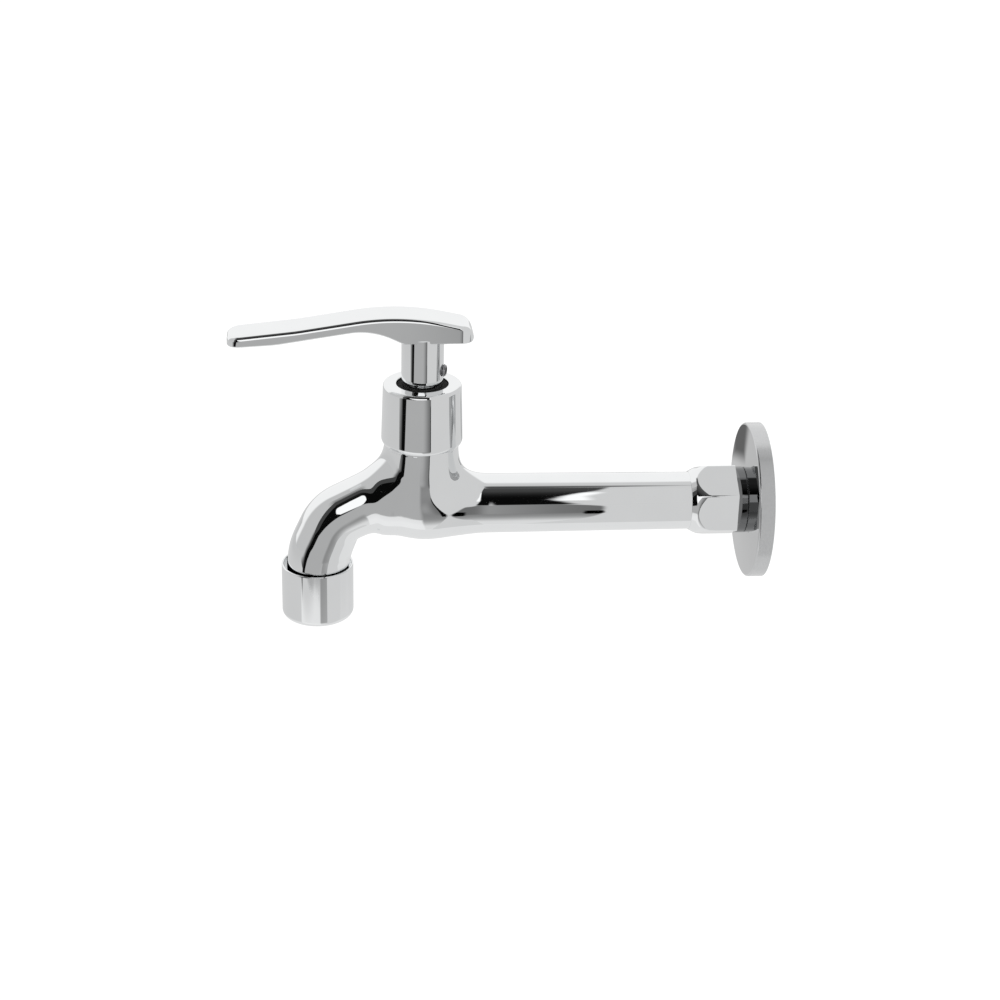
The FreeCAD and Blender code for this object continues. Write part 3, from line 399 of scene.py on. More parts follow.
def placed(piece, body, slot, finish_name, *nodes):
    """Give a piece its finish, its body and the nodes that it stands for."""
    piece.data.materials.clear()
    piece.data.materials.append(named_finish(finish_name))
    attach(piece, body)
    if nodes:
        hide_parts(*nodes)
    return piece


def chromed(name, form, body, node, finish_name="chrome"):
    """A polished piece of chrome plate that stands for a node of the frame."""
    return placed(polished(piece_from(name, form)), body, "chrome_plate", finish_name, node)


# The casting's skin: a surface round soft unions of simple forms

def soft_corner(first, second, softness):
    """The lesser of two slopes' heights, turning softly from one to the other."""
    overlap = np.clip(1 - np.abs(first - second) / softness, 0, None)
    return np.minimum(first, second) - overlap ** 3 * softness / 6


def united(one, other, blend, sizes):
    """Two forms as one, the seam between them filled where they meet at an angle."""
    (near, facing), (far, away) = one, other
    reach = np.minimum(blend * (1 - (facing * away).sum(-1)), sizes.seam_limit) + sizes.front_blend
    overlap = np.clip(1 - np.abs(near - far) / reach, 0, None)
    gap = np.minimum(near, far) - overlap ** 3 * reach / 6
    share = np.clip(0.5 + 0.5 * (far - near) / reach, 0, 1)[..., None]
    mixed = away + (facing - away) * share
    return gap, mixed / np.maximum(np.linalg.norm(mixed, axis=-1, keepdims=True), 1e-9)


def neck_form(points, sizes):
    """The upright neck with its rounded bottom."""
    around = np.maximum(np.hypot(points[..., 0], points[..., 1]), 1e-9)
    turn_height = sizes.neck_rounding - sizes.neck_drop
    below = points[..., 2] < turn_height
    drop = np.clip((sizes.waist_height - points[..., 2]) / (sizes.waist_height - turn_height), 0, 1)
    radius = sizes.neck_radius - sizes.neck_waist * drop * drop * (3 - 2 * drop)
    out = np.maximum(around - (radius - sizes.neck_rounding), 0)
    down = points[..., 2] - turn_height
    round_part = np.maximum(np.hypot(out, down), 1e-9)
    gap = np.where(below, round_part - sizes.neck_rounding, around - radius)
    level = np.where(below, out / round_part, 1.0)
    facing = np.stack([points[..., 0] / around * level, points[..., 1] / around * level,
                       np.where(below, down / round_part, 0.0)], axis=-1)
    return gap, facing


def barrel_form(points, sizes, barrel_end):
    """The barrel with its belly, round the inlet axis."""
    along = points[..., 1]

    def slope(start, start_radius, end, end_radius):
        return start_radius + (along - start) * (end_radius - start_radius) / (end - start)

    under_spout = slope(-sizes.belly_end_reach, sizes.belly_end_radius, 0, sizes.belly_radius)
    behind_valve = slope(0, sizes.belly_radius, sizes.barrel_reach, sizes.barrel_radius)
    straight = slope(sizes.barrel_reach, sizes.barrel_radius, barrel_end, sizes.barrel_wall_radius)
    # How sharply two slopes part is what turns a length along the barrel into a softness
    belly = soft_corner(under_spout, behind_valve, sizes.belly_softness * 0.35)
    profile = -soft_corner(-belly, -straight, sizes.barrel_softness * 0.1)
    around = np.maximum(np.hypot(points[..., 0], points[..., 2]), 1e-9)
    end_softness = 6 * MM
    gap = -soft_corner(profile - around, along + sizes.belly_end_reach, end_softness)
    facing = [points[..., 0] / around, np.zeros_like(around), points[..., 2] / around]
    return gap, np.stack(facing, axis=-1)


def spout_line():
    """The corners (along, up, rounding) of the spout's middle line, from the valve down."""
    return [
        (-4.0 * MM, 9.6 * MM, 0.0),
        (-31.0 * MM, -5.1 * MM, 13.0 * MM),
        (-35.9 * MM, -17.2 * MM, 25.0 * MM),
        (-36.8 * MM, -26.5 * MM, 0.0),
    ]


def spout_form(points, sizes):
    """The round tube of the spout, along straight runs joined by arcs."""
    line = spout_line()
    flat = points[..., 1:]
    starts = [Vector(corner[:2]) for corner in line]
    ends = list(starts)
    # The nearest point on each arc and run, and where it counts
    feet = []
    for index in range(1, len(line) - 1):
        radius = line[index][2]
        corner = Vector(line[index][:2])
        starts[index], ends[index], middle, half = bend(*line[index - 1:index + 2], radius)
        spoke = flat - np.array(middle)
        distance = np.maximum(np.linalg.norm(spoke, axis=-1), 1e-9)
        facing = np.array((corner - middle).normalized())
        feet.append((np.array(middle) + spoke / distance[..., None] * radius,
                     spoke @ facing > distance * math.cos(math.pi / 2 - half)))
    for index in range(len(line) - 1):
        first, last = np.array(ends[index]), np.array(starts[index + 1])
        run = last - first
        share = np.clip(((flat - first) @ run) / (run @ run), 0, 1)
        feet.append((first + share[..., None] * run, True))
    best = np.full(flat.shape[:-1], np.inf)
    nearest = np.zeros(flat.shape)
    for foot, counts in feet:
        away = np.linalg.norm(flat - foot, axis=-1)
        nearer = (away < best) & counts
        best = np.where(nearer, away, best)
        nearest = np.where(nearer[..., None], foot, nearest)
    offset = np.concatenate([points[..., :1], flat - nearest], axis=-1)
    distance = np.maximum(np.linalg.norm(offset, axis=-1), 1e-9)
    share = np.clip((nearest[..., 1] - line[2][1]) / (line[0][1] - line[2][1]), 0, 1)
    radius = sizes.spout_radius + (sizes.spout_root_radius - sizes.spout_radius) * share
    return distance - radius, offset / distance[..., None]


def steepness(distance, points, step=2e-6):
    """The gradient of a distance at each point."""
    slopes = []
    for axis in range(3):
        shift = np.zeros(3)
        shift[axis] = step
        slopes.append((distance(points + shift) - distance(points - shift)) / (2 * step))
    return np.stack(slopes, axis=-1)


def skin(name, distance, low, high, cell, steps=6):
    """A mesh of the surface where a distance is nought, with true normals."""
    ranges = [np.arange(low[axis], high[axis] + cell, cell) for axis in range(3)]
    inside = distance(np.stack(np.meshgrid(*ranges, indexing="ij"), axis=-1)) < 0
    corners = sum(inside[i:i - 1 or None, j:j - 1 or None, k:k - 1 or None].astype(int)
                  for i in (0, 1) for j in (0, 1) for k in (0, 1))
    crossed = (corners > 0) & (corners < 8)
    numbers = np.full(crossed.shape, -1)
    numbers[crossed] = np.arange(crossed.sum())
    points = np.argwhere(crossed) * cell + np.array(low) + cell / 2
    for _ in range(steps):
        slope = steepness(distance, points)
        points = points - slope * (distance(points) / (slope ** 2).sum(-1))[:, None]
    faces = []
    for axis in range(3):
        side = np.moveaxis(inside, axis, 0)
        number = np.moveaxis(numbers, axis, 0)
        i, j, k = np.nonzero(side[:-1, 1:-1, 1:-1] != side[1:, 1:-1, 1:-1])
        faces.append(np.stack([number[i, j, k], number[i, j + 1, k], number[i, j + 1, k + 1],
                               number[i, j, k + 1]], axis=-1))
    faces = np.concatenate(faces)
    outward = steepness(distance, points)
    outward /= np.linalg.norm(outward, axis=-1, keepdims=True)
    diagonals = np.cross(points[faces[:, 2]] - points[faces[:, 0]],
                         points[faces[:, 3]] - points[faces[:, 1]])
    wrong = (diagonals * outward[faces].mean(axis=1)).sum(-1) < 0
    faces[wrong] = faces[wrong][:, ::-1]
    mesh = bpy.data.meshes.new(name)
    mesh.from_pydata(points.tolist(), [], faces.tolist())
    mesh.shade_smooth()
    mesh.normals_split_custom_set_from_vertices(outward.tolist())
    return mesh


# Finishes

# The part of a noise texture's range that holds nearly all of its values
NOISE_LOW, NOISE_HIGH = 0.3, 0.7
# Chrome plate: the scale of its patches, how far they vary its colour and its roughness from the
# least to the most, then the scale, strength and depth in metres of its waves
PATCH_SCALE, PATCH_SPREAD, PATCH_ROUGHNESS = 90.0, 0.008, (0.012, 0.03)
WAVE_SCALE, WAVE_STRENGTH, WAVE_DEPTH = 160.0, 0.05, 0.00004
# How far a grain varies the roughness and how strong its relief is
GRAIN_SHARE, GRAIN_STRENGTH = 0.15, 0.3
# Each grained finish: its colour, how metallic and rough it is, the scale of its grain, the depth
# of its relief in metres and how far its colour varies
GRAINED = {
    "satin_chrome": ("thin_chrome", 1.0, 0.2, 1500.0, 0.000002, 0.02),
    "brass": ("brass", 1.0, 0.28, 900.0, 0.00001, 0.03),
    "steel": ("steel", 1.0, 0.3, 1500.0, 0.00001, 0.03),
    "black_steel": ("black_steel", 1.0, 0.2, 1500.0, 0.00001, 0.02),
    "ceramic": ("ceramic", 0.0, 0.2, 1200.0, 0.000005, 0.015),
    "rubber": ("rubber", 0.0, 0.9, 1500.0, 0.000002, 0.002),
    "fibre": ("fibre", 0.0, 0.8, 2500.0, 0.00005, 0.05),
    "nylon": ("nylon", 0.0, 0.45, 700.0, 0.00002, 0.02),
    "insert": ("insert", 0.0, 0.4, 700.0, 0.00002, 0.02),
}


def add_node(tree, kind, values=None, feeds=None, **settings):
    """A new node with its settings, the values of its sockets and what feeds them."""
    node = tree.nodes.new("ShaderNode" + kind)
    for name, value in settings.items():
        setattr(node, name, value)
    for socket, value in (values or {}).items():
        node.inputs[socket].default_value = value
    for socket, source in (feeds or {}).items():
        tree.links.new(source, node.inputs[socket])
    return node


def finish(name):
    """A new material, its nodes and its shader."""
    material = bpy.data.materials.new(name)
    material.use_nodes = True
    tree = material.node_tree
    return material, tree, tree.nodes["Principled BSDF"]


def noise(tree, scale, detail=3.0):
    """Noise that sits still on the object."""
    place = add_node(tree, "TexCoord")
    return add_node(tree, "TexNoise", {"Scale": scale, "Detail": detail},
                    {"Vector": place.outputs["Object"]}).outputs["Fac"]


def ranged(tree, source, low, high):
    """A noise moved to a range."""
    values = {"From Min": NOISE_LOW, "From Max": NOISE_HIGH, "To Min": low, "To Max": high}
    return add_node(tree, "MapRange", values, {"Value": source}).outputs["Result"]


def bumped(tree, shader, source, strength, distance):
    """A small relief from a value."""
    node = add_node(tree, "Bump", {"Strength": strength, "Distance": distance}, {"Height": source})
    tree.links.new(node.outputs["Normal"], shader.inputs["Normal"])


def varied(tree, shader, colour_value, source, spread):
    """The base colour, slightly darker and lighter from place to place."""
    ramp = add_node(tree, "ValToRGB", feeds={"Fac": source})
    dark, light = ramp.color_ramp.elements
    dark.position, light.position = NOISE_LOW, NOISE_HIGH
    dark.color = [max(channel - spread, 0) for channel in colour_value] + [1]
    light.color = [min(channel + spread, 1) for channel in colour_value] + [1]
    tree.links.new(ramp.outputs["Color"], shader.inputs["Base Color"])


def plated_chrome(name, colour_value):
    """Bright chrome plate, with the faint unevenness of hand polishing."""
    material, tree, shader = finish(name)
    shader.inputs["Metallic"].default_value = 1.0
    patches = noise(tree, PATCH_SCALE)
    varied(tree, shader, colour_value, patches, PATCH_SPREAD)
    tree.links.new(ranged(tree, patches, *PATCH_ROUGHNESS), shader.inputs["Roughness"])
    bumped(tree, shader, noise(tree, WAVE_SCALE, 1.0), WAVE_STRENGTH, WAVE_DEPTH)
    return material


def grained(name, colour_value, metallic, roughness, grain, relief, spread):
    """A plain finish with a fine grain."""
    material, tree, shader = finish(name)
    shader.inputs["Metallic"].default_value = metallic
    texture = noise(tree, grain)
    varied(tree, shader, colour_value, texture, spread)
    rough = ranged(tree, texture, roughness * (1 - GRAIN_SHARE), roughness * (1 + GRAIN_SHARE))
    tree.links.new(rough, shader.inputs["Roughness"])
    bumped(tree, shader, texture, GRAIN_STRENGTH, relief)
    return material


def named_finish(name):
    """One of the tap's finishes, made the first time that it is asked for."""
    full_name = "tap_" + name
    found = bpy.data.materials.get(full_name)
    if found:
        return found
    colours = bpy.context.scene.tap_colours
    if name in GRAINED:
        colour_name, *grain = GRAINED[name]
        return grained(full_name, getattr(colours, colour_name), *grain)
    return plated_chrome(full_name, getattr(colours, name))


class TAP_OT_casting(bpy.types.Operator):
    """The cast body: neck, belly, barrel and spout as one smooth skin"""
    bl_idname = "tap.casting"
    bl_label = "Casting"

    def execute(self, context):
        sizes = context.scene.tap_casting
        inlet = context.scene.tap_inlet
        barrel_end = -VALVE.y - inlet.collar_gap - inlet.collar_length - inlet.hexagon_length
        spigot_top = sizes.spigot_length - sizes.spigot_bottom
        half_width, margin, end_margin = 15.5 * MM, 2 * MM, 3 * MM

        def distance(points):
            neck = neck_form(points, sizes)
            spout = spout_form(points, sizes)
            barrel = barrel_form(points, sizes, barrel_end)
            upper = united(neck, spout, sizes.spout_blend, sizes)
            gap, _ = united(upper, barrel, sizes.barrel_blend, sizes)
            for past_end in (points[..., 2] - sizes.neck_top, points[..., 1] - barrel_end - OVERLAP,
                             spigot_top - OVERLAP - points[..., 2]):
                gap = np.maximum(gap, past_end)
            return gap

        low = Vector((-half_width, BODY_LOW.y - VALVE.y - margin, spigot_top - end_margin))
        high = Vector((half_width, barrel_end + end_margin, sizes.neck_top + margin))
        mesh = skin("casting_skin", distance, low, high, sizes.skin_cell)
        mesh.transform(Matrix.Translation(VALVE))
        placed(new_piece("casting_skin", mesh), "tap", "chrome_plate", "chrome", "tap_body")
        chromed("spout_spigot", turned([
            (sizes.spigot_bore, -sizes.spigot_bottom),
            (sizes.spigot_radius, -sizes.spigot_bottom, sizes.spigot_rounding),
            (sizes.spigot_radius, spigot_top),
            (sizes.spigot_bore, spigot_top),
        ], OUTLET), "tap", "tap_body")
        return {"FINISHED"}


def thread_outline(sizes, start, end):
    """The outline (radius, along) of the tail with its thread's crests as rings."""
    root = sizes.thread_radius - sizes.thread_depth
    thread_start = start + sizes.relief_length
    outline = [(root, thread_start)]
    crest = thread_start + sizes.thread_pitch / 2
    while crest < end - sizes.thread_pitch / 4:
        outline.append((sizes.thread_radius, crest, FINE_EDGE))
        outline.append((root, crest + sizes.thread_pitch / 2, FINE_EDGE))
        crest += sizes.thread_pitch
    outline[-1] = (root, end)
    return outline


class TAP_OT_inlet(bpy.types.Operator):
    """The hexagon at the wall end and the threaded tail behind it"""
    bl_idname = "tap.inlet"
    bl_label = "Hexagon and Tail"

    def execute(self, context):
        sizes = context.scene.tap_inlet
        collar_back = -sizes.collar_gap
        back = collar_back - sizes.collar_length
        front = back - sizes.hexagon_length
        corner = sizes.across_flats / math.sqrt(3)
        sides = rounded_hexagon(sizes.across_flats, sizes.edge_rounding, math.radians(30))
        block = prism(sides, front - OVERLAP, back)
        bmesh.ops.transform(block, matrix=Matrix.Rotation(-math.pi / 2, 4, "X"), verts=block.verts)
        hexagon_piece = piece_from("inlet_hexagon", block)
        combined(hexagon_piece, turned([
            (0, front),
            (sizes.dome_radius, front, FINE_EDGE),
            (sizes.shoulder_radius, front + sizes.shoulder_length, sizes.shoulder_rounding),
            (corner + OVERLAP, front + sizes.dome_length),
            (corner + OVERLAP, back + OVERLAP),
            (0, back + OVERLAP),
        ], along_y=True, segments=FINE_SEGMENTS), "INTERSECT")
        combined(hexagon_piece, turned([
            (0, front - OVERLAP), (sizes.bore_radius, front - OVERLAP),
            (sizes.bore_radius, back + OVERLAP), (0, back + OVERLAP),
        ], along_y=True), "DIFFERENCE")
        placed(polished(hexagon_piece), "tap", "chrome_plate", "chrome", "tap_body")

        inside = sizes.across_flats / 2 - OVERLAP
        # Painted shade: the collar takes the darkened chrome, which stands in for the shade in the
        # recess between hexagon and flange
        chromed("inlet_collar", turned([
            (sizes.bore_radius, back - OVERLAP),
            (inside, back - OVERLAP),
            (inside, back),
            (sizes.collar_radius, back),
            (sizes.collar_radius, collar_back, EDGE),
            (sizes.bore_radius, collar_back),
        ], along_y=True, segments=FINE_SEGMENTS), "tap", "tap_body", "dark_chrome")

        root = sizes.thread_radius - sizes.thread_depth
        chromed("inlet_tail", turned([
            (sizes.bore_radius, collar_back - OVERLAP), (root, collar_back - OVERLAP),
            *thread_outline(sizes, collar_back, BODY_HIGH.y),
            (sizes.bore_radius, BODY_HIGH.y),
        ], along_y=True), "tap", "tap_body")
        return {"FINISHED"}


class TAP_OT_flange(bpy.types.Operator):
    """The pressed flange against the wall"""
    bl_idname = "tap.flange"
    bl_label = "Wall Flange"

    def execute(self, context):
        sizes = context.scene.tap_flange
        front = FLANGE_LOW.y
        piece = chromed("flange_cover", turned([
            (sizes.hole_radius, front, EDGE),
            (sizes.radius, -sizes.rim_depth, sizes.rim_rounding),
            (sizes.radius, 0),
            (sizes.radius - sizes.sheet, 0),
            (sizes.radius - sizes.sheet, -sizes.rim_depth + sizes.sheet, EDGE),
            (sizes.hole_radius, front + sizes.sheet, EDGE),
        ], along_y=True, segments=FINE_SEGMENTS), "tap", "wall_flange", "thin_chrome")
        piece.data.materials.append(named_finish("satin_chrome"))
        # The rim's outer side is duller than the face
        rim_radius = sizes.radius - sizes.sheet / 2
        for face in piece.data.polygons:
            if abs(face.normal.y) < 0.5 and math.hypot(face.center.x, face.center.z) > rim_radius:
                face.material_index = 1
        return {"FINISHED"}


class TAP_OT_cap(bpy.types.Operator):
    """The round cap over the valve"""
    bl_idname = "tap.cap"
    bl_label = "Bonnet Cap"

    def execute(self, context):
        sizes = context.scene.tap_cap
        low, high = CAP_LOW.z + sizes.bottom_lift, CAP_HIGH.z
        inner = sizes.top_radius - sizes.wall
        chromed("bonnet_cap_shell", turned([
            (sizes.skirt_radius, low),
            (sizes.bottom_radius, low, sizes.bottom_rounding),
            (sizes.top_radius, high, sizes.top_rounding),
            (sizes.hole_radius, high, sizes.hole_rounding),
            (sizes.hole_radius, high - sizes.top_wall),
            (inner, high - sizes.top_wall),
            (inner, low + sizes.top_wall),
            (sizes.skirt_radius, low + sizes.top_wall),
        ], VALVE, segments=FINE_SEGMENTS), "tap", "bonnet_cap")
        return {"FINISHED"}


def lever_profile(sizes):
    """The lever's top and its underside, each as places along it and the heights there."""
    tip, back = -sizes.tip_reach, sizes.back_reach
    arc_step = math.radians(0.5)
    top = rounded([
        (tip, sizes.tip_underside + sizes.tip_thickness),
        (-42.7 * MM, 67.6 * MM, 80.0 * MM),
        (-7.8 * MM, 73.25 * MM, 82.0 * MM),
        (back, sizes.back_height, sizes.back_rounding),
        (back, sizes.underside),
    ], arc_step)
    under = rounded([
        (tip, sizes.tip_underside),
        (-50.3 * MM, 62.5 * MM, 60.0 * MM),
        (-17.8 * MM, 67.8 * MM, 25.0 * MM),
        (-sizes.hub_radius + 0.4 * MM, sizes.underside),
        (back, sizes.underside, sizes.heel_rounding),
        (back, sizes.back_height),
    ], arc_step)
    return [([point.x for point in line[:-1]], [point.y for point in line[:-1]])
            for line in (top, under)]


def plan_outline(sizes, inset, count=120, corner_steps=12):
    """The lever's outline from above, moved in by an inset, from the tip to the back end."""
    half = sizes.width / 2 - inset
    low, high = -sizes.tip_reach + inset, sizes.back_reach - inset
    radius = sizes.corner_radius - inset
    turns = [math.pi / 2 * step / corner_steps for step in range(1, corner_steps)]
    tip = [(half - radius + radius * math.sin(turn), low + radius - radius * math.cos(turn))
           for turn in turns]
    side = [(half, low + radius + (high - low - 2 * radius) * step / count)
            for step in range(count + 1)]
    heel = [(half - radius + radius * math.cos(turn), high - radius + radius * math.sin(turn))
            for turn in turns]
    return [(half - radius, low)] + tip + side + heel + [(half - radius, high)]


def lever_form(sizes, steps=8, thin=0.15):
    """A bmesh of the lever: rings from its underside up, moved in where its edges are round."""
    top, under = lever_profile(sizes)
    form = bmesh.new()
    rings = []

    def height(y, line):
        """The height of the top or the underside at a place along the lever."""
        return float(np.interp(y, *line))

    for line, rounding, way, order in ((under, sizes.under_rounding, 1, range(steps, -1, -1)),
                                       (top, sizes.top_rounding, -1, range(steps + 1))):
        for step in order:
            turn = math.pi / 2 * step / steps
            half_outline = plan_outline(sizes, rounding * (1 - math.cos(turn)))
            drop = rounding * (1 - math.sin(turn)) * way
            ring = []
            for x, y in half_outline + [(-x, y) for x, y in reversed(half_outline)]:
                # Where the lever is thin its edges are rounded less
                thickness = height(y, top) - height(y, under)
                room = thickness / (sizes.top_rounding + sizes.under_rounding)
                share = min(max(room - thin, 0.0), 1.0)
                ring.append(form.verts.new((x, y, height(y, line) + drop * share)))
            rings.append(ring)
    count = len(rings[0])
    for lower, upper in zip(rings, rings[1:]):
        for index in range(count):
            after = (index + 1) % count
            form.faces.new((lower[index], lower[after], upper[after], upper[index]))
    for ring in (rings[0], rings[-1]):
        for index in range(count // 2 - 1):
            across = count - 1 - index
            form.faces.new((ring[index], ring[index + 1], ring[across - 1], ring[across]))
    bmesh.ops.recalc_face_normals(form, faces=form.faces)
    bmesh.ops.translate(form, vec=VALVE, verts=form.verts)
    return form


def screw_form(sizes):
    """A bmesh of the set screw upright, its thread's crests as rings."""
    root = sizes.screw_radius - sizes.screw_flank
    outline = [(0, sizes.screw_inner), (sizes.screw_radius - EDGE, sizes.screw_inner)]
    thread = sizes.screw_inner + EDGE
    while thread < sizes.screw_reach - sizes.screw_plain:
        outline += [(root, thread), (sizes.screw_radius, thread + sizes.screw_flank)]
        thread += 2 * sizes.screw_flank
    outline += [(root, thread), (root, sizes.screw_reach, sizes.screw_rounding),
                (0, sizes.screw_reach)]
    return turned(outline, segments=96)


class TAP_OT_handle(bpy.types.Operator):
    """The lever, its hub, a black ring of painted shade round the hub's foot and its set screw"""
    bl_idname = "tap.handle"
    bl_label = "Lever Handle"

    def execute(self, context):
        sizes = context.scene.tap_lever
        chromed("lever_blade", lever_form(sizes), "handle", "lever_handle")

        bevel = CAP_HIGH.z + sizes.hub_step
        top = sizes.underside + OVERLAP
        socket_top = sizes.hub_bottom + sizes.socket_depth
        chromed("lever_hub", turned([
            (sizes.bush_radius, sizes.hub_bottom),
            (sizes.hub_foot, sizes.hub_bottom),
            (sizes.hub_foot, bevel),
            (sizes.hub_foot + sizes.hub_ledge, bevel),
            (sizes.hub_radius, bevel + sizes.hub_bevel, EDGE),
            (sizes.hub_radius, top),
            (0, top),
            (0, socket_top),
            (sizes.bush_radius, socket_top),
        ], VALVE), "handle", "lever_handle")

        # Painted shade: a black ring in the gap between the hub's foot and the cap's hole, standing
        # in for the shade there
        inner = sizes.hub_foot + sizes.shade_ring_gap
        low, high = CAP_HIGH.z - sizes.shade_ring_bottom, CAP_HIGH.z - sizes.shade_ring_top
        shade_ring = piece_from("hub_dust_seal", turned([
            (inner, low), (sizes.shade_ring_radius, low),
            (sizes.shade_ring_radius, high, EDGE), (inner, high),
        ], VALVE))
        placed(polished(shade_ring), "tap", "black_rubber", "rubber")

        screw = piece_from("handle_grub_screw", screw_form(sizes))
        combined(screw, prism(hexagon(sizes.screw_socket),
                              sizes.screw_reach - sizes.screw_socket_depth,
                              sizes.screw_reach + OVERLAP), "DIFFERENCE")
        centre = VALVE + Vector((0, 0, (SCREW_LOW.z + SCREW_HIGH.z) / 2 + sizes.screw_lift))
        aim = Matrix.Rotation(-sizes.screw_turn, 4, "Z") @ Matrix.Rotation(-math.pi / 2, 4, "X")
        screw.data.transform(Matrix.Translation(centre) @ aim)
        placed(polished(screw), "handle", "stainless", "black_steel", "handle_set_screw")
        return {"FINISHED"}


class TAP_OT_aerator(bpy.types.Operator):
    """The aerator's shell round the spout's end"""
    bl_idname = "tap.aerator"
    bl_label = "Aerator Shell"

    def execute(self, context):
        sizes = context.scene.tap_aerator
        casting = context.scene.tap_casting
        low, high = SHELL_LOW.z, SHELL_HIGH.z
        thread_top = casting.spigot_length - casting.spigot_bottom
        ledge = -casting.spigot_bottom - sizes.ledge_drop
        chromed("aerator_sleeve", turned([
            (sizes.mouth_radius, high, EDGE),
            (sizes.radius, high, sizes.rim_rounding),
            (sizes.radius, low, sizes.bottom_rounding),
            (sizes.insert_radius, low, EDGE),
            (sizes.insert_radius, ledge),
            (sizes.thread_radius, ledge),
            (sizes.thread_radius, thread_top),
            (sizes.mouth_radius, thread_top),
        ], OUTLET), "tap", "aerator_shell")
        return {"FINISHED"}


INNER_FINISHES = {
    "brass": ["cartridge_housing", "spindle"],
    "ceramic": ["moving_disc", "fixed_disc"],
    "fibre": ["housing_washer"],
    "nylon": ["thrust_washer", "spline_bush"],
    "rubber": ["spindle_o_rings", "disc_seal", "aerator_gasket"],
    "steel": ["retaining_clip", "aerator_screens"],
    "insert": ["aerator_housing", "jet_plate", "aerator_strainer", "outlet_grid"],
}


class TAP_OT_insides(bpy.types.Operator):
    """Finishes of the pieces that the CAD frame already shows"""
    bl_idname = "tap.insides"
    bl_label = "Inner Pieces"

    def execute(self, context):
        for name, members in INNER_FINISHES.items():
            for member in members:
                node = NODES[member]
                node.data.materials.clear()
                node.data.materials.append(named_finish(name))
        return {"FINISHED"}


# The border that the cards dark_above and grey_front share
FRONT_BORDER = [
    (-0.52, -0.235), (-0.455, -0.16), (-0.42, -0.11), (-0.385, -0.06), (-0.3, -0.02), (-0.22, 0.04),
]
# The cards of the studio, each nearer to the tap than the one before it: where it stands, how far
# its edges fade, the axis of its gradient, the gradient's stops (place, light) and its corners
# (along, up) in metres. A corner of four numbers gives its outer and its inner place, for an edge
# that fades over a long way.
CARDS = {
    "dark_fade": ("front", 0.0, "Z", [(0, 0.06)], [
        (-1.02, -0.235, -0.62, -0.22), (-0.66, -0.03, -0.5, -0.05), (-0.48, 0.1, -0.34, 0.1),
        (-0.53, 0.3, -0.4, 0.3), (-1.1, 0.8, -0.58, 0.8), (-2.2, 1.75, -0.93, 1.7),
        (-0.3, 1.76, -0.31, 1.7), (-0.3, -0.01, -0.31, 0.01), (-0.45, -0.235, -0.46, -0.22),
    ]),
    "dark_above": ("front", 0.004, "Z", [(0.2, 0.003), (0.7, 0.057), (1.6, 0.08)], [
        (-0.59, -0.235), (-0.54, -0.1), (-0.5, -0.05), (-0.41, 0.0), (-0.345, 0.05),
        (-0.33, 0.12), (-0.355, 0.2), (-0.42, 0.32), (-0.9, 1.75), (0.198, 1.75), (0.163, 1.51),
        (0.032, 0.615), (0.0, 0.43), (-0.03, 0.25), (-0.042, 0.17), (-0.037, 0.09),
        (-0.034, 0.07), *FRONT_BORDER[::-1],
    ]),
    "grey_front": ("front", 0.004, "Y", [(-0.13, 0.455), (-0.02, 0.16)], [
        *FRONT_BORDER, (-0.2, 0.055), (-0.042, 0.07), (-0.03, 0.05), (0.01, -0.06), (0.02, -0.2),
        (0.0, -0.4), (-0.1, -0.4), (-0.13, -0.15), (-0.2, -0.15), (-0.4, -0.18),
    ]),
    "grey_table": ("front", 0.018, "Z", [(-0.34, 0.785), (-0.09, 0.258)], [
        (-0.13, -0.09), (0.0, -0.09), (0.01, -0.14), (0.01, -0.24), (-0.02, -0.5), (-0.13, -0.5),
    ]),
    "white_box": ("front", 0.003, "Z", [(0, 1.12)], [
        (-0.2, 0.045), (-0.235, 0.07), (-0.27, 0.095), (-0.3, 0.14), (-0.325, 0.185),
        (-0.335, 0.235), (-0.075, 0.21), (-0.075, 0.065),
    ]),
    "white_table": ("front", 0.012, "Z", [(-0.3, 0.92), (-0.15, 0.86)], [
        (-0.5, -0.24), (-0.2, -0.15), (-0.13, -0.15), (-0.09, -0.6), (-0.6, -0.6),
    ]),
    "white_strip": ("front", 0.004, "Z", [(0, 1.15)], [
        (-0.041, 0.14), (-0.03, 0.25), (0.0, 0.43), (0.012, 0.43), (-0.018, 0.25), (-0.025, 0.14),
    ]),
    "right_wall": ("front", 0.002, "Z", [(0, 0.69)], [
        (-0.022, -0.6), (-0.0215, -0.09), (-0.0235, -0.05), (-0.0235, 0.05), (0.0, 0.065),
        (2.5, 0.065), (2.5, -0.6),
    ]),
    "black_edge": ("front", 0.001, "Z", [(0, 0.0)], [
        (-0.0295, -0.108), (-0.0225, -0.108), (-0.0215, -0.085), (-0.0235, -0.045),
        (-0.032, -0.045), (-0.0315, -0.09),
    ]),
    "dark_behind": ("behind", 0.004, "Y", [(0, 0.16)], [
        (-0.036, -0.037), (-0.018, -0.037), (-0.018, -0.018), (-0.036, -0.018),
    ]),
    "table": ("low", 0.05, "Y", [(-3, 0.6), (-0.5, 0.68)], [
        (-6, -6), (6, -6), (6, 6), (-6, 6),
    ]),
    "table_middle": ("low", 0.33, "X", [(0, 0.82)], [
        (0.35, -0.82), (0.85, -0.35), (0.85, 0.35), (0.35, 0.82), (-0.35, 0.82), (-0.85, 0.35),
        (-0.85, -0.35), (-0.35, -0.82),
    ]),
}


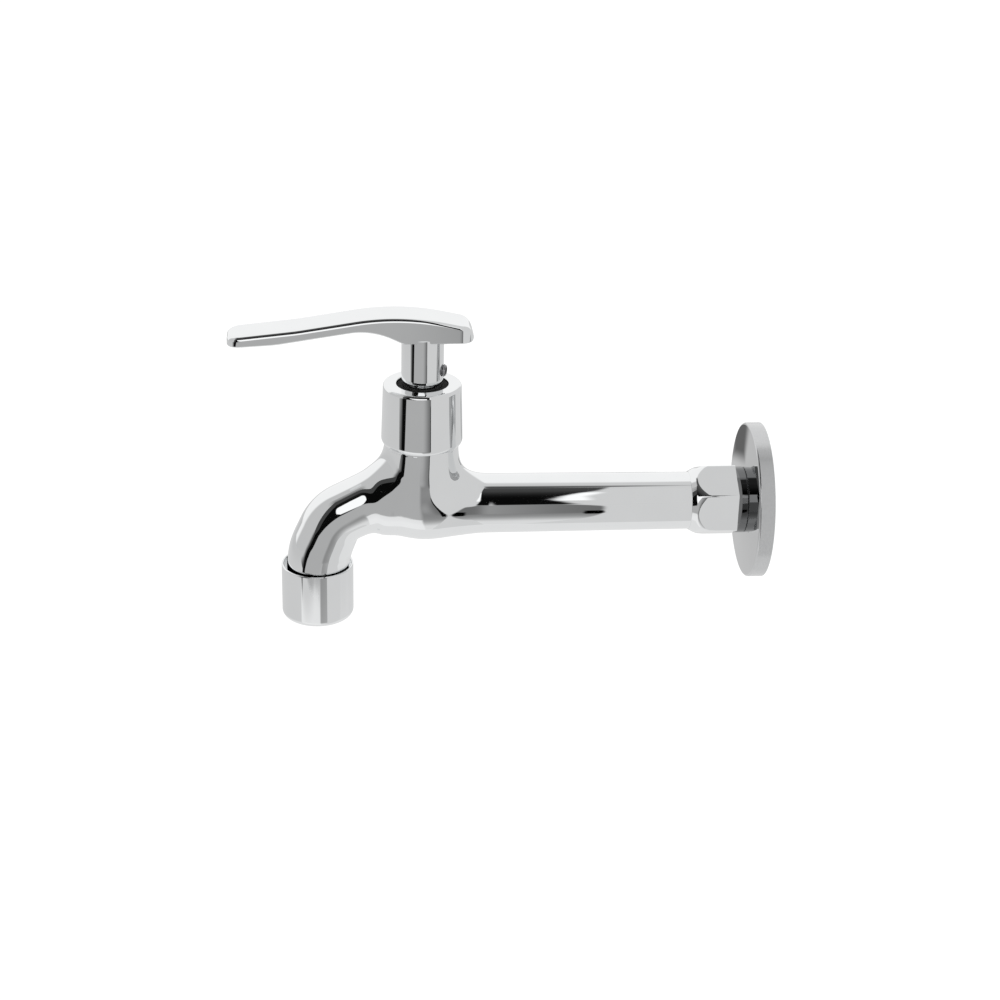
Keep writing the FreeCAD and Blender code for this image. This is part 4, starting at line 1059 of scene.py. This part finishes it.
def moved_outline(corners, fade, way, least_slant=0.25):
    """The corners of a flat outline, moved outward or inward by the fade, or as they are given."""
    points = [Vector(corner[:2]) for corner in corners]
    area = sum(points[index - 1].cross(point) for index, point in enumerate(points))
    turn = math.copysign(1, area)
    moved = []
    for index, point in enumerate(points):
        if len(corners[index]) == 4:
            moved.append(Vector(corners[index][:2] if way > 0 else corners[index][2:]))
            continue
        back = (point - points[index - 1]).normalized()
        ahead = (points[(index + 1) % len(points)] - point).normalized()
        outward = Vector((back.y + ahead.y, -back.x - ahead.x)).normalized() * turn
        slant = max(outward.dot(Vector((back.y, -back.x)) * turn), least_slant)
        moved.append(point + outward * (way * fade / slant))
    return moved


def glowing(name, axis, stops):
    """A material that glows evenly or with a gradient and fades out at a card's edge."""
    material, tree, _ = finish(name)
    tree.nodes.clear()
    even = len(stops) == 1
    light = add_node(tree, "Emission", {"Color": (1, 1, 1, 1),
                                        "Strength": stops[0][1] if even else 1.0})
    clear = add_node(tree, "BsdfTransparent")
    edge = add_node(tree, "Attribute", attribute_name="edge")
    share = add_node(tree, "MapRange", feeds={"Value": edge.outputs["Fac"]},
                     interpolation_type="SMOOTHSTEP")
    mix = add_node(tree, "MixShader", feeds={
        "Fac": share.outputs["Result"], 1: clear.outputs["BSDF"], 2: light.outputs["Emission"]})
    add_node(tree, "OutputMaterial", feeds={"Surface": mix.outputs["Shader"]})
    if even:
        return material
    first, last = stops[0][0], stops[-1][0]
    place = add_node(tree, "TexCoord")
    parts = add_node(tree, "SeparateXYZ", feeds={"Vector": place.outputs["Object"]})
    along = add_node(tree, "MapRange", {"From Min": first, "From Max": last},
                     {"Value": parts.outputs[axis]})
    gradient = add_node(tree, "ValToRGB", feeds={"Fac": along.outputs["Result"]})
    ramp = gradient.color_ramp
    ramp.interpolation = "EASE"
    while len(ramp.elements) < len(stops):
        ramp.elements.new(0.5)
    for element, (position, level) in zip(ramp.elements, stops):
        element.position = (position - first) / (last - first)
        element.color = (level, level, level, 1)
    tree.links.new(gradient.outputs["Color"], light.inputs["Color"])
    return material


def put_card(name, facing, fade, axis, stops, corners):
    """A flat glowing card that only reflections show."""
    form = bmesh.new()
    edge = form.verts.layers.float.new("edge")
    outer = [form.verts.new((0, *corner)) for corner in moved_outline(corners, fade, 1)]
    inner = [form.verts.new((0, *corner)) for corner in moved_outline(corners, fade, -1)]
    for corner in inner:
        corner[edge] = 1.0
    for index in range(len(corners)):
        form.faces.new((outer[index - 1], outer[index], inner[index], inner[index - 1]))
    form.faces.new(inner)
    bmesh.ops.triangulate(form, faces=form.faces)
    bmesh.ops.transform(form, matrix=facing, verts=form.verts)
    card = piece_from(name, form)
    card.data.materials.append(glowing(name, axis, stops))
    for kind in ("camera", "diffuse", "shadow", "transmission"):
        setattr(card, "visible_" + kind, False)


# Where the parts of the room's light start and end, on an axis of a direction or on a slant
# across its X and Y
ROOM = {
    "left": (-0.2, -0.6), "behind": (0.565, 0.74), "over_table": (-0.38, 0.0),
    "overhead": (0.927, 0.985), "camera_side": (-0.05, -0.15), "high": (0.79, 0.94),
    "top": (0.978, 0.988), "slanted": (-0.12, -0.02),
}
BEHIND_SLANT, CEILING_SLANT = (-1.0, -0.32), (0.8, -0.6)


class Strength:
    """Nodes that work out how strong a light is."""

    def __init__(self, tree):
        self.tree = tree

    def parts(self, source):
        """The X, Y and Z of a vector."""
        return add_node(self.tree, "SeparateXYZ", feeds={"Vector": source}).outputs

    def ramp(self, source, start, end):
        """Nought before the start and one past the end, softly."""
        return add_node(self.tree, "MapRange", {"From Min": start, "From Max": end},
                        {"Value": source}, interpolation_type="SMOOTHSTEP").outputs["Result"]

    def math(self, how, first, second):
        """Two values or numbers put together by an operation of the Math node."""
        node = add_node(self.tree, "Math", operation=how)
        for socket, value in zip(node.inputs, (first, second)):
            if isinstance(value, (int, float)):
                socket.default_value = value
            else:
                self.tree.links.new(value, socket)
        return node.outputs["Value"]

    def times(self, first, second):
        """The product of two values or numbers."""
        return self.math("MULTIPLY", first, second)

    def mixed(self, parts, across, along):
        """A sum of the shares given of a direction's X and Y."""
        return self.math("ADD", self.times(parts["X"], across), self.times(parts["Y"], along))

    def toward(self, value, level, share):
        """The value moved to a level by a share."""
        return self.math("ADD", value, self.times(self.math("SUBTRACT", level, value), share))


class TAP_OT_stage(bpy.types.Operator):
    """The camera, the light and the pale surroundings"""
    bl_idname = "tap.stage"
    bl_label = "Stage"

    def execute(self, context):
        scene = context.scene
        studio = scene.tap_studio
        self.camera(scene, studio)
        facings = {
            "front": Matrix.Translation((studio.card_distance, 0, 0)),
            "behind": Matrix.Translation((-studio.behind_distance, 0, 0)),
            "low": Matrix(((0, 1, 0, 0), (0, 0, 1, 0), (1, 0, 0, -studio.table_depth),
                           (0, 0, 0, 1))),
        }
        nearer = {"front": (-1, 0, 0), "behind": (1, 0, 0), "low": (0, 0, 1)}
        for index, (name, (where, *card)) in enumerate(CARDS.items()):
            step = Matrix.Translation(Vector(nearer[where]) * index * studio.card_step)
            put_card(name, step @ facings[where], *card)
        self.floor(studio)
        self.world(scene, studio)
        scene.view_settings.view_transform = "Standard"
        return {"FINISHED"}

    def camera(self, scene, studio):
        """The camera at the photo's viewing angle."""
        camera = bpy.data.objects.new("camera", bpy.data.cameras.new("camera"))
        scene.collection.objects.link(camera)
        camera.data.lens = studio.lens
        camera.data.sensor_width = 36.0
        camera.data.clip_start = 10 * MM
        place, aim = Vector(studio.camera_place), Vector(studio.camera_aim)
        camera.location = place
        look = (aim - place).to_track_quat("-Z", "Y").to_matrix().to_4x4()
        roll = Matrix.Rotation(studio.camera_roll, 4, "Z")
        camera.rotation_mode = "QUATERNION"
        camera.rotation_quaternion = (look @ roll).to_quaternion()
        scene.camera = camera

    def floor(self, studio):
        """A plain white floor far below, which still takes the tap's shadow."""
        form = bmesh.new()
        bmesh.ops.create_grid(form, x_segments=1, y_segments=1, size=studio.floor_size / 2)
        bmesh.ops.translate(form, vec=(0, 0, -studio.floor_depth), verts=form.verts)
        floor = piece_from("floor", form)
        material, tree, shader = finish("floor")
        shader.inputs["Base Color"].default_value = (studio.floor_share,) * 3 + (1,)
        shader.inputs["Roughness"].default_value = 1.0
        shader.inputs["Emission Color"].default_value = (1, 1, 1, 1)
        strength = Strength(tree)
        path = add_node(tree, "LightPath").outputs
        seen = strength.math("MAXIMUM", path["Is Camera Ray"], path["Is Glossy Ray"])
        seen = strength.math("MAXIMUM", seen, path["Is Transmission Ray"])
        level = strength.toward(studio.floor_glow, studio.floor_seen_glow, seen)
        tree.links.new(level, shader.inputs["Emission Strength"])
        floor.data.materials.append(material)

    def world(self, scene, studio):
        """Pale light all round: lightest behind the tap, a dark ceiling on the camera's side."""
        world = bpy.data.worlds.new("studio")
        scene.world = world
        world.use_nodes = True
        tree = world.node_tree
        strength = Strength(tree)
        way = strength.parts(add_node(tree, "TexCoord").outputs["Generated"])
        flat = add_node(tree, "CombineXYZ", feeds={"X": way["X"], "Y": way["Y"]})
        level = add_node(tree, "VectorMath", feeds={0: flat.outputs["Vector"]},
                         operation="NORMALIZE")
        turn = strength.parts(level.outputs["Vector"])
        up = way["Z"]

        def share(source, part):
            return strength.ramp(source, *ROOM[part])

        # How much of each part of the room a direction has
        left = share(turn["Y"], "left")
        back = strength.times(share(strength.mixed(turn, *BEHIND_SLANT), "behind"),
                              share(up, "over_table"))
        overhead = share(up, "overhead")
        ceiling = strength.times(share(way["Y"], "camera_side"), share(up, "high"))
        ceiling = strength.math("MAXIMUM", ceiling, share(up, "top"))
        ceiling = strength.times(ceiling, share(strength.mixed(way, *CEILING_SLANT), "slanted"))

        path = add_node(tree, "LightPath").outputs
        value = studio.room_light
        for light, part in ((studio.left_light, left), (studio.back_light, back),
                            (studio.overhead_light, overhead), (studio.ceiling_light, ceiling),
                            (1.0, path["Is Camera Ray"]), (1.0, path["Is Transmission Ray"])):
            value = strength.toward(value, light, part)
        background = tree.nodes["Background"]
        tree.links.new(value, background.inputs["Strength"])
        background.inputs["Color"].default_value = (1, 1, 1, 1)


OPERATORS = [TAP_OT_casting, TAP_OT_inlet, TAP_OT_flange, TAP_OT_cap, TAP_OT_handle, TAP_OT_aerator,
             TAP_OT_insides, TAP_OT_stage]
GROUPS = {
    "tap_casting": CastingSizes, "tap_inlet": InletSizes, "tap_flange": FlangeSizes,
    "tap_cap": CapSizes, "tap_lever": LeverSizes, "tap_aerator": AeratorSizes,
    "tap_colours": FinishColours, "tap_studio": StudioSettings,
}


class TAP_PT_panel(bpy.types.Panel):
    """Sizes, colours and operators of the sink tap"""
    bl_label = "Sink Tap"
    bl_idname = "TAP_PT_panel"
    bl_space_type = "VIEW_3D"
    bl_region_type = "UI"
    bl_category = "Sink Tap"

    def draw(self, context):
        for maker in OPERATORS:
            self.layout.operator(maker.bl_idname)
        for name, group in GROUPS.items():
            box = self.layout.box()
            box.label(text=group.__name__)
            for field in group.__annotations__:
                box.prop(getattr(context.scene, name), field)


def register():
    for group in GROUPS.values():
        bpy.utils.register_class(group)
    for name, group in GROUPS.items():
        setattr(bpy.types.Scene, name, bpy.props.PointerProperty(type=group))
    for maker in OPERATORS + [TAP_PT_panel]:
        bpy.utils.register_class(maker)


def unregister():
    for maker in reversed(OPERATORS + [TAP_PT_panel]):
        bpy.utils.unregister_class(maker)
    for name in GROUPS:
        delattr(bpy.types.Scene, name)
    for group in reversed(list(GROUPS.values())):
        bpy.utils.unregister_class(group)


def main():
    register()
    for maker in OPERATORS:
        family, name = maker.bl_idname.split(".")
        getattr(getattr(bpy.ops, family), name)()


if __name__ == "__main__":
    main()
